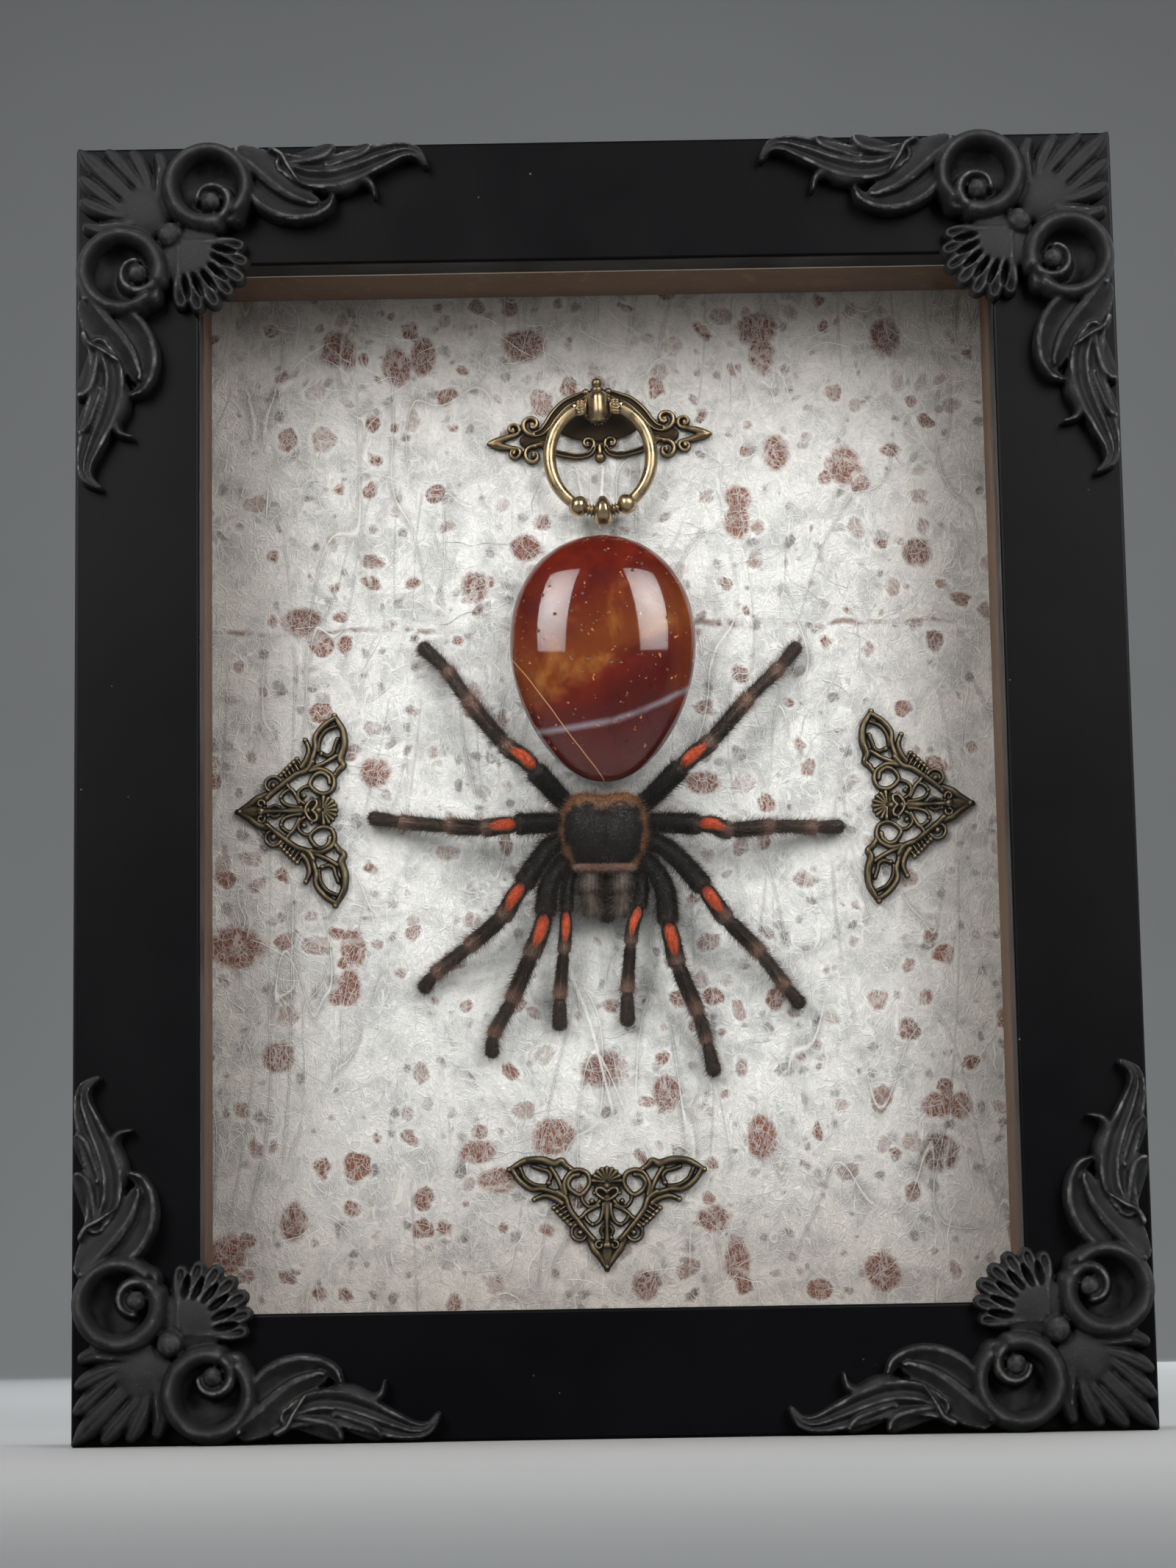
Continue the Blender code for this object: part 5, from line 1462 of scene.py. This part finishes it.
JET = (0.0030, 0.0026, 0.0026)
UMBER = (0.016, 0.010, 0.008)
STREAK = (0.19, 0.125, 0.092)
BAND = (0.36, 0.215, 0.165)
OUTLINE = (0.26, 0.115, 0.065)
FLAME = (0.60, 0.082, 0.020)
EMBER = (0.21, 0.013, 0.007)
TARSUS = (0.050, 0.034, 0.027)
SKIN_STEP = 0.55
SKIN_SIDES = 26


def segment_colour(segment, t, q, facing):
    """Colour at share t along a segment; q runs across it, as seen from the front."""
    streaks = 0.5 + 0.5 * np.sin(q * 23 + 2.0 * t) * np.sin(q * 9 + 1.7)
    if segment == "femur":
        return mixed(JET, (0.06, 0.04, 0.032), soft_step(t, 0.92, 1.0) * 0.7)
    if segment == "lip":
        return mixed(JET, (0.055, 0.017, 0.010), soft_step(t, 0.2, 0.9) * facing)
    if segment == "jaw":
        colour = mixed((0.12, 0.095, 0.08), (0.46, 0.38, 0.33), streaks)
        return mixed(JET, colour, facing * soft_step(np.abs(q), 1.0, 0.7) * soft_step(t, 1.15, 0.7))
    if segment == "knee":
        colour = mixed(UMBER, (0.24, 0.155, 0.12), soft_step(t, 0.62, 0.92) * (0.45 + 0.55 * streaks) * facing)
        along = np.clip((t - 0.05) / 0.76, 0.0, 1.0)
        half = 0.95 * np.sqrt(3.2 * along) * (1.0 - along) ** 0.9
        inside = half - np.abs(q)
        patch = soft_step(inside, -0.02, 0.08) * facing * soft_step(half, 0.0, 0.08)
        colour = mixed(colour, OUTLINE, soft_step(inside, -0.20, -0.04) * facing * soft_step(half, 0.05, 0.2) * 0.8)
        colour = mixed(colour, mixed(EMBER, FLAME, soft_step(t, 0.0, 0.35)), patch)
        split = np.abs(np.abs(q) - 0.16 * (1.0 - t))
        return mixed(colour, EMBER, soft_step(split, 0.11, 0.03) * patch * soft_step(t, 0.15, 0.3) * 0.75)
    if segment == "tarsus":
        colour = mixed(TARSUS, (0.020, 0.013, 0.011), soft_step(np.abs(q), 0.5, 0.1) * facing * 0.8)
        return mixed(colour, (0.085, 0.060, 0.048), streaks * 0.45)
    ground = mixed(UMBER, (0.070, 0.050, 0.039), 0.8 if segment == "metatarsus" else 0.0)
    colour = mixed(ground, STREAK, streaks**2 * facing * (0.25 + 0.6 * soft_step(t, 0.2, 0.8)))
    colour = mixed(colour, BAND, soft_step(t, 0.58, 0.94) * (0.55 + 0.45 * streaks))
    return mixed(colour, BAND, soft_step(t, 0.07, 0.02) * 0.4)


def limb_skin(name, knots, segments):
    """The bare skin of a limb through (across, up, rise) knots in mm. Segments lists, from the
    body out, (kind, index of its last knot, half thickness, length of fur)."""
    paper_y = paper_low.y / MM
    path = smooth_path([(x, paper_y - rise, up) for x, up, rise in knots], 10)
    steps = np.linalg.norm(np.diff(path, axis=0), axis=1)
    run = np.concatenate([[0.0], np.cumsum(steps)])
    joints = [0.0] + [run[10 * last] for _, last, _, _ in segments]
    along = np.linspace(0.0, run[-1], int(run[-1] / SKIN_STEP) + 1)
    line = np.stack([np.interp(along, run, path[:, axis]) for axis in range(3)], 1)
    ahead = np.gradient(line, axis=0)
    ahead /= np.linalg.norm(ahead, axis=1)[:, None]
    back_of = np.array((0.0, -1.0, 0.0)) - ahead * ahead[:, 1:2] * -1.0
    back_of /= np.linalg.norm(back_of, axis=1)[:, None]
    beside = np.cross(back_of, ahead)
    radii = np.interp(along, [0.5 * (a + b) for a, b in zip(joints, joints[1:])], [size[2] for size in segments])
    for start, stop in zip(joints, joints[1:]):
        here = (along >= start) & (along < stop)
        radii[here] *= 0.90 + 0.22 * ((along[here] - start) / (stop - start)) ** 2
    for joint in joints[1:-1]:
        radii *= 1.0 - 0.24 * np.exp(-((along - joint - 0.5) / 0.7) ** 2)
    from_tip = run[-1] - along
    radii *= np.sqrt(np.clip(from_tip / 1.9, 0.0, 1.0) * (2 - np.clip(from_tip / 1.9, 0.0, 1.0)))
    radii = np.maximum(radii, 0.12)
    turn = np.linspace(0.0, 2 * math.pi, SKIN_SIDES, endpoint=False)
    q = np.sin(turn)[None, :]
    front = np.cos(turn)[None, :]
    spots = line[:, None, :] + radii[:, None, None] * (front[..., None] * back_of[:, None, :]
                                                       + q[..., None] * beside[:, None, :])
    colours = np.zeros(spots.shape)
    furs = np.zeros(spots.shape[:2])
    facing = np.broadcast_to(soft_step(front, -0.1, 0.35), furs.shape)
    across = np.broadcast_to(q, furs.shape)
    for (kind, _, _, fur), start, stop in zip(segments, joints, joints[1:]):
        here = (along >= start - 1e-6) & (along <= stop + 1e-6)
        t = np.broadcast_to(((along[here] - start) / (stop - start))[:, None], furs[here].shape)
        colours[here] = segment_colour(kind, t, across[here], facing[here])
        furs[here] = fur * MM
    furs *= (1.0 - 0.45 * np.clip(1.0 - from_tip / 2.0, 0.0, 1.0))[:, None]
    flows = np.broadcast_to(ahead[:, None, :], spots.shape)
    faces = tube_faces(len(line), SKIN_SIDES)
    return skin_mesh(name, spots.reshape(-1, 3) * MM, faces, colours.reshape(-1, 3), flows.reshape(-1, 3),
                     furs.ravel())


LEG_SEGMENTS = (("femur", 3, 2.45, 1.05), ("knee", 5, 2.2, 0.72), ("tibia", 6, 1.85, 1.15),
                ("metatarsus", 7, 1.55, 1.15), ("tarsus", 8, 1.6, 0.95))
# Knots: under the body, hip, femur, knee, patch, shin, ankle, foot, tip: across, up, rise off the paper.
LEGS = {
    "leg_1_left": ((-7.0, 149.0, 4), (-11.6, 145.0, 8), (-14.6, 139.8, 10), (-15.6, 132.4, 11.5), (-17.0, 127.2, 12),
                   (-19.4, 121.8, 11), (-24.6, 110.6, 7), (-29.4, 102.0, 4), (-29.9, 96.3, 2.5)),
    "leg_1_right": ((7.0, 149.0, 4), (12.0, 144.4, 8), (15.3, 138.0, 10), (15.9, 129.6, 11.5), (16.9, 124.6, 12),
                    (18.2, 118.7, 11), (23.1, 106.7, 7), (25.4, 99.3, 4), (27.4, 90.6, 2.5)),
    "leg_2_left": ((-7.5, 152.0, 4), (-13.0, 151.0, 7.6), (-17.0, 146.4, 9.5), (-21.1, 140.1, 11.5),
                   (-23.6, 136.6, 12), (-26.7, 131.8, 11), (-35.4, 124.8, 7), (-44.4, 118.0, 4), (-47.9, 113.5, 2.5)),
    "leg_2_right": ((7.5, 152.0, 4), (13.6, 150.6, 7.6), (18.6, 146.6, 9.5), (25.1, 138.6, 11.5), (27.3, 135.4, 12),
                    (31.0, 130.3, 11), (39.5, 121.8, 7), (46.0, 113.4, 4), (50.4, 108.0, 2.5)),
    "leg_3_left": ((-7.0, 156.0, 4), (-12.0, 156.4, 7), (-17.0, 156.2, 9.5), (-22.6, 155.6, 11.5), (-26.4, 155.3, 12),
                   (-31.0, 155.0, 11), (-40.5, 156.1, 7), (-53.0, 157.9, 4), (-61.3, 159.4, 2.5)),
    "leg_3_right": ((7.0, 156.0, 4), (12.6, 156.0, 7), (18.0, 155.6, 9.5), (24.2, 154.9, 11.5), (27.8, 154.7, 12),
                    (32.3, 153.3, 11), (43.2, 154.6, 7), (54.9, 154.7, 4), (62.3, 154.9, 2.5)),
    "leg_4_left": ((-6.5, 159.0, 4), (-10.8, 162.6, 6.4), (-14.2, 166.0, 9.5), (-17.6, 169.6, 11.5),
                   (-20.6, 173.0, 12), (-25.4, 176.7, 11), (-35.1, 189.4, 7), (-40.7, 197.9, 4), (-47.6, 204.9, 2.5)),
    "leg_4_right": ((6.5, 159.0, 4), (11.6, 162.4, 6.4), (15.4, 165.6, 9.5), (20.0, 169.8, 11.5), (23.4, 173.0, 12),
                    (28.0, 176.7, 11), (38.2, 188.6, 7), (46.6, 197.1, 4), (51.8, 203.5, 2.5)),
}
for name, knots in LEGS.items():
    furred = grow_fur(name, limb_skin(name, knots, LEG_SEGMENTS), 10000, 3200)
    finish_piece(name + "_furred", furred, hairy_coat, "frame", "black_cuticle", name)

PALP_SEGMENTS = (("femur", 2, 1.7, 0.8), ("knee", 4, 1.6, 0.6), ("tibia", 5, 1.5, 0.85), ("tarsus", 6, 1.75, 0.8))
PALPS = {
    "palp_left": ((-6.0, 146.5, 4), (-9.4, 142.0, 6.4), (-10.3, 133.4, 8.4), (-10.4, 128.0, 9), (-11.0, 122.8, 8.4),
                  (-12.2, 111.6, 4.5), (-12.4, 103.0, 2.5)),
    "palp_right": ((6.0, 146.5, 4), (9.4, 141.8, 6.4), (8.6, 134.2, 8.4), (6.9, 129.4, 9), (6.2, 124.6, 8.4),
                   (5.2, 112.6, 4.5), (5.1, 103.9, 2.5)),
}
for name, knots in PALPS.items():
    furred = grow_fur(name, limb_skin(name, knots, PALP_SEGMENTS), 5800, 1600)
    finish_piece(name + "_furred", furred, hairy_coat, "frame", "black_cuticle", name)

# ---- the carapace and the eyes ----
# The shield over the head and legs: black-brown in the middle, with a tan fringe round its edge,
# a curled notch at the back, a pinkish hem in front, and eight tiny eyes on a low mound.

CARAPACE_OUTLINE = ((0.0, 163.0), (4.2, 163.7), (7.6, 163.1), (9.8, 160.2), (11.1, 156.2), (11.1, 152.0),
                    (9.9, 148.0), (8.1, 144.9), (7.2, 143.9), (3.6, 143.7), (0.0, 143.8))
CARAPACE_X = (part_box("cephalothorax")[0].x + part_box("cephalothorax")[1].x) / 2 / MM
outline = smooth_path(CARAPACE_OUTLINE, 8)
outline = np.concatenate([outline, (outline * (-1, 1))[-2:0:-1]])
HEART = (0.0, 154.0)
shells = 30
rings = []
for side, depth in ((1, 4.9), (-1, 2.6)):
    for ring in range(shells + 1):
        share = ring / shells if side == 1 else 1 - ring / shells
        if (side == -1 and ring == 0) or share < 0.02:
            continue
        x = outline[:, 0] * share
        up = HEART[1] + (outline[:, 1] - HEART[1]) * share
        dome = np.full(len(x), depth * (1 - share**2.4) ** 0.55)
        if side == 1:
            dome += 0.55 * np.exp(-((x / 4.6) ** 2)) * soft_step(up, 158.0, 152.0) * (1 - share**4)
            dome -= 0.9 * np.exp(-((x / 1.5) ** 2) - ((up - 159.3) / 1.3) ** 2)
            spoke = np.abs(np.sin(2.5 * np.arctan2(x, 159.3 - up)))
            dome -= 0.35 * (1 - spoke) ** 6 * soft_step(share, 0.15, 0.4) * (1 - share)
            dome += 0.7 * np.exp(-(x / 1.5) ** 2 - ((up - 145.9) / 0.9) ** 2)
        rings.append(np.stack([x + CARAPACE_X, paper_low.y / MM - 8.1 - side * dome, up], 1))
spots = np.stack(rings)
ring_count, around_count = spots.shape[:2]
faces = tube_faces(ring_count, around_count)
spots = spots.reshape(-1, 3)
x = spots[:, 0] - CARAPACE_X
up = spots[:, 2]
share = np.concatenate([np.full(around_count, min(1.0, (ring + 1) / shells) if ring < shells
                                else (ring_count - ring) / shells) for ring in range(ring_count)])
wobble = 0.02 * np.sin(5 * np.arctan2(x, up - HEART[1])) + 0.02 * np.sin(11 * np.arctan2(x, up - HEART[1]))
border = soft_step(share + wobble + random.normal(0.0, 0.015, len(x)), 0.86, 0.96)
back_hair = soft_step(up + 0.5 * np.sin(x * 1.9), 159.6, 161.2)
notch = np.exp(-((x / 2.6) ** 2) - ((up - 160.6) / 1.4) ** 2)
colour = mixed((0.0035, 0.003, 0.0028), (0.018, 0.012, 0.009), np.exp(-((x / 3.0) ** 2)) * soft_step(up, 153, 146))
colour = mixed(colour, (0.31, 0.145, 0.070), np.maximum(border, 0.75 * np.maximum(back_hair, notch)))
curls = np.exp(-((np.hypot(np.abs(x) - 4.2, (up - 160.3) * 1.6) - 1.3) / 0.42) ** 2)
colour = mixed(colour, (0.014, 0.009, 0.007), curls * 0.85)
hem = soft_step(up, 145.5, 145.0) * soft_step(np.abs(x), 8.6, 7.8)
colour = mixed(colour, (0.55, 0.33, 0.26), hem)
colour = mixed(colour, JET, (spots[:, 1] > paper_low.y / MM - 7.9) * 0.9)
flow = np.stack([x, np.full(len(x), -2.0), (up - 157.5) * 0.9], 1)
flow /= np.linalg.norm(flow, axis=1)[:, None]
fur = (0.85 + 0.45 * border - 0.35 * hem) * MM
carapace_skin = skin_mesh("carapace", spots * MM, faces, colour, flow, fur)
carapace_mesh = grow_fur("carapace", carapace_skin, 12500, 2800, 1.9, 0.4, 0.35)
finish_piece("cephalothorax_furred", carapace_mesh, hairy_coat, "frame", "black_cuticle", "cephalothorax")

wet_black = start_material("wet_black_eye")
depth = noise(place, 3000.0, 2.0)
wear({
    "Base Color": blend(depth, (0.002, 0.002, 0.003), (0.02, 0.012, 0.006)),
    "Roughness": 0.06,
    "Coat Weight": 1.0,
    "Coat Roughness": 0.03,
})
eye_shape = bmesh.new()
for across, up, size in ((0.42, 146.3, 0.30), (1.15, 146.5, 0.24), (1.35, 145.7, 0.26), (0.95, 145.2, 0.22)):
    for side in (-1, 1):
        bulge = 4.9 * (1 - (abs(up - HEART[1]) / 10.2) ** 2.4) ** 0.55 + 0.85 - 0.25 * across
        middle = Vector((CARAPACE_X + side * across, paper_low.y / MM - 8.1 - bulge, up)) * MM
        bmesh.ops.create_icosphere(eye_shape, subdivisions=3, radius=size * MM, matrix=Matrix.Translation(middle))
eye_mesh = bpy.data.meshes.new("eyes")
eye_shape.to_mesh(eye_mesh)
eye_shape.free()
eye_mesh.shade_smooth()
finish_piece("eyes", eye_mesh, wet_black, "frame", "black_cuticle")

# ---- the chelicerae ----
# The two stout jaws, grey-brown and brushed with long bristles that run down to the fangs.

CHELICERAE = {
    "chelicera_left": ((-4.0, 143.6, 4.4), (-4.2, 141.4, 6.6), (-4.3, 138.0, 7.2), (-4.0, 135.2, 6.6),
                       (-3.6, 132.6, 5.4)),
    "chelicera_right": ((4.0, 143.6, 4.4), (4.2, 141.4, 6.6), (4.3, 138.0, 7.2), (4.1, 135.2, 6.6),
                        (3.9, 132.8, 5.4)),
    "mouth": ((0.0, 144.0, 2.8), (0.0, 141.0, 3.6), (0.2, 137.0, 4.2), (0.3, 134.0, 4.4), (0.3, 131.0, 3.6)),
}
CHELICERA_SEGMENTS = (("jaw", 2, 2.5, 1.2), ("jaw", 4, 2.0, 2.0))
MOUTH_SEGMENTS = (("lip", 2, 2.0, 1.0), ("lip", 4, 1.8, 1.2))
for name, knots in CHELICERAE.items():
    mouth = name == "mouth"
    skin = limb_skin(name, knots, MOUTH_SEGMENTS if mouth else CHELICERA_SEGMENTS)
    furred = grow_fur(name, skin, 3000 if mouth else 5000, 700 if mouth else 1500, 2.0, 0.2, 0.3)
    finish_piece(name + "_furred", furred, hairy_coat, "frame", "grey_bristle", *([] if mouth else [name]))
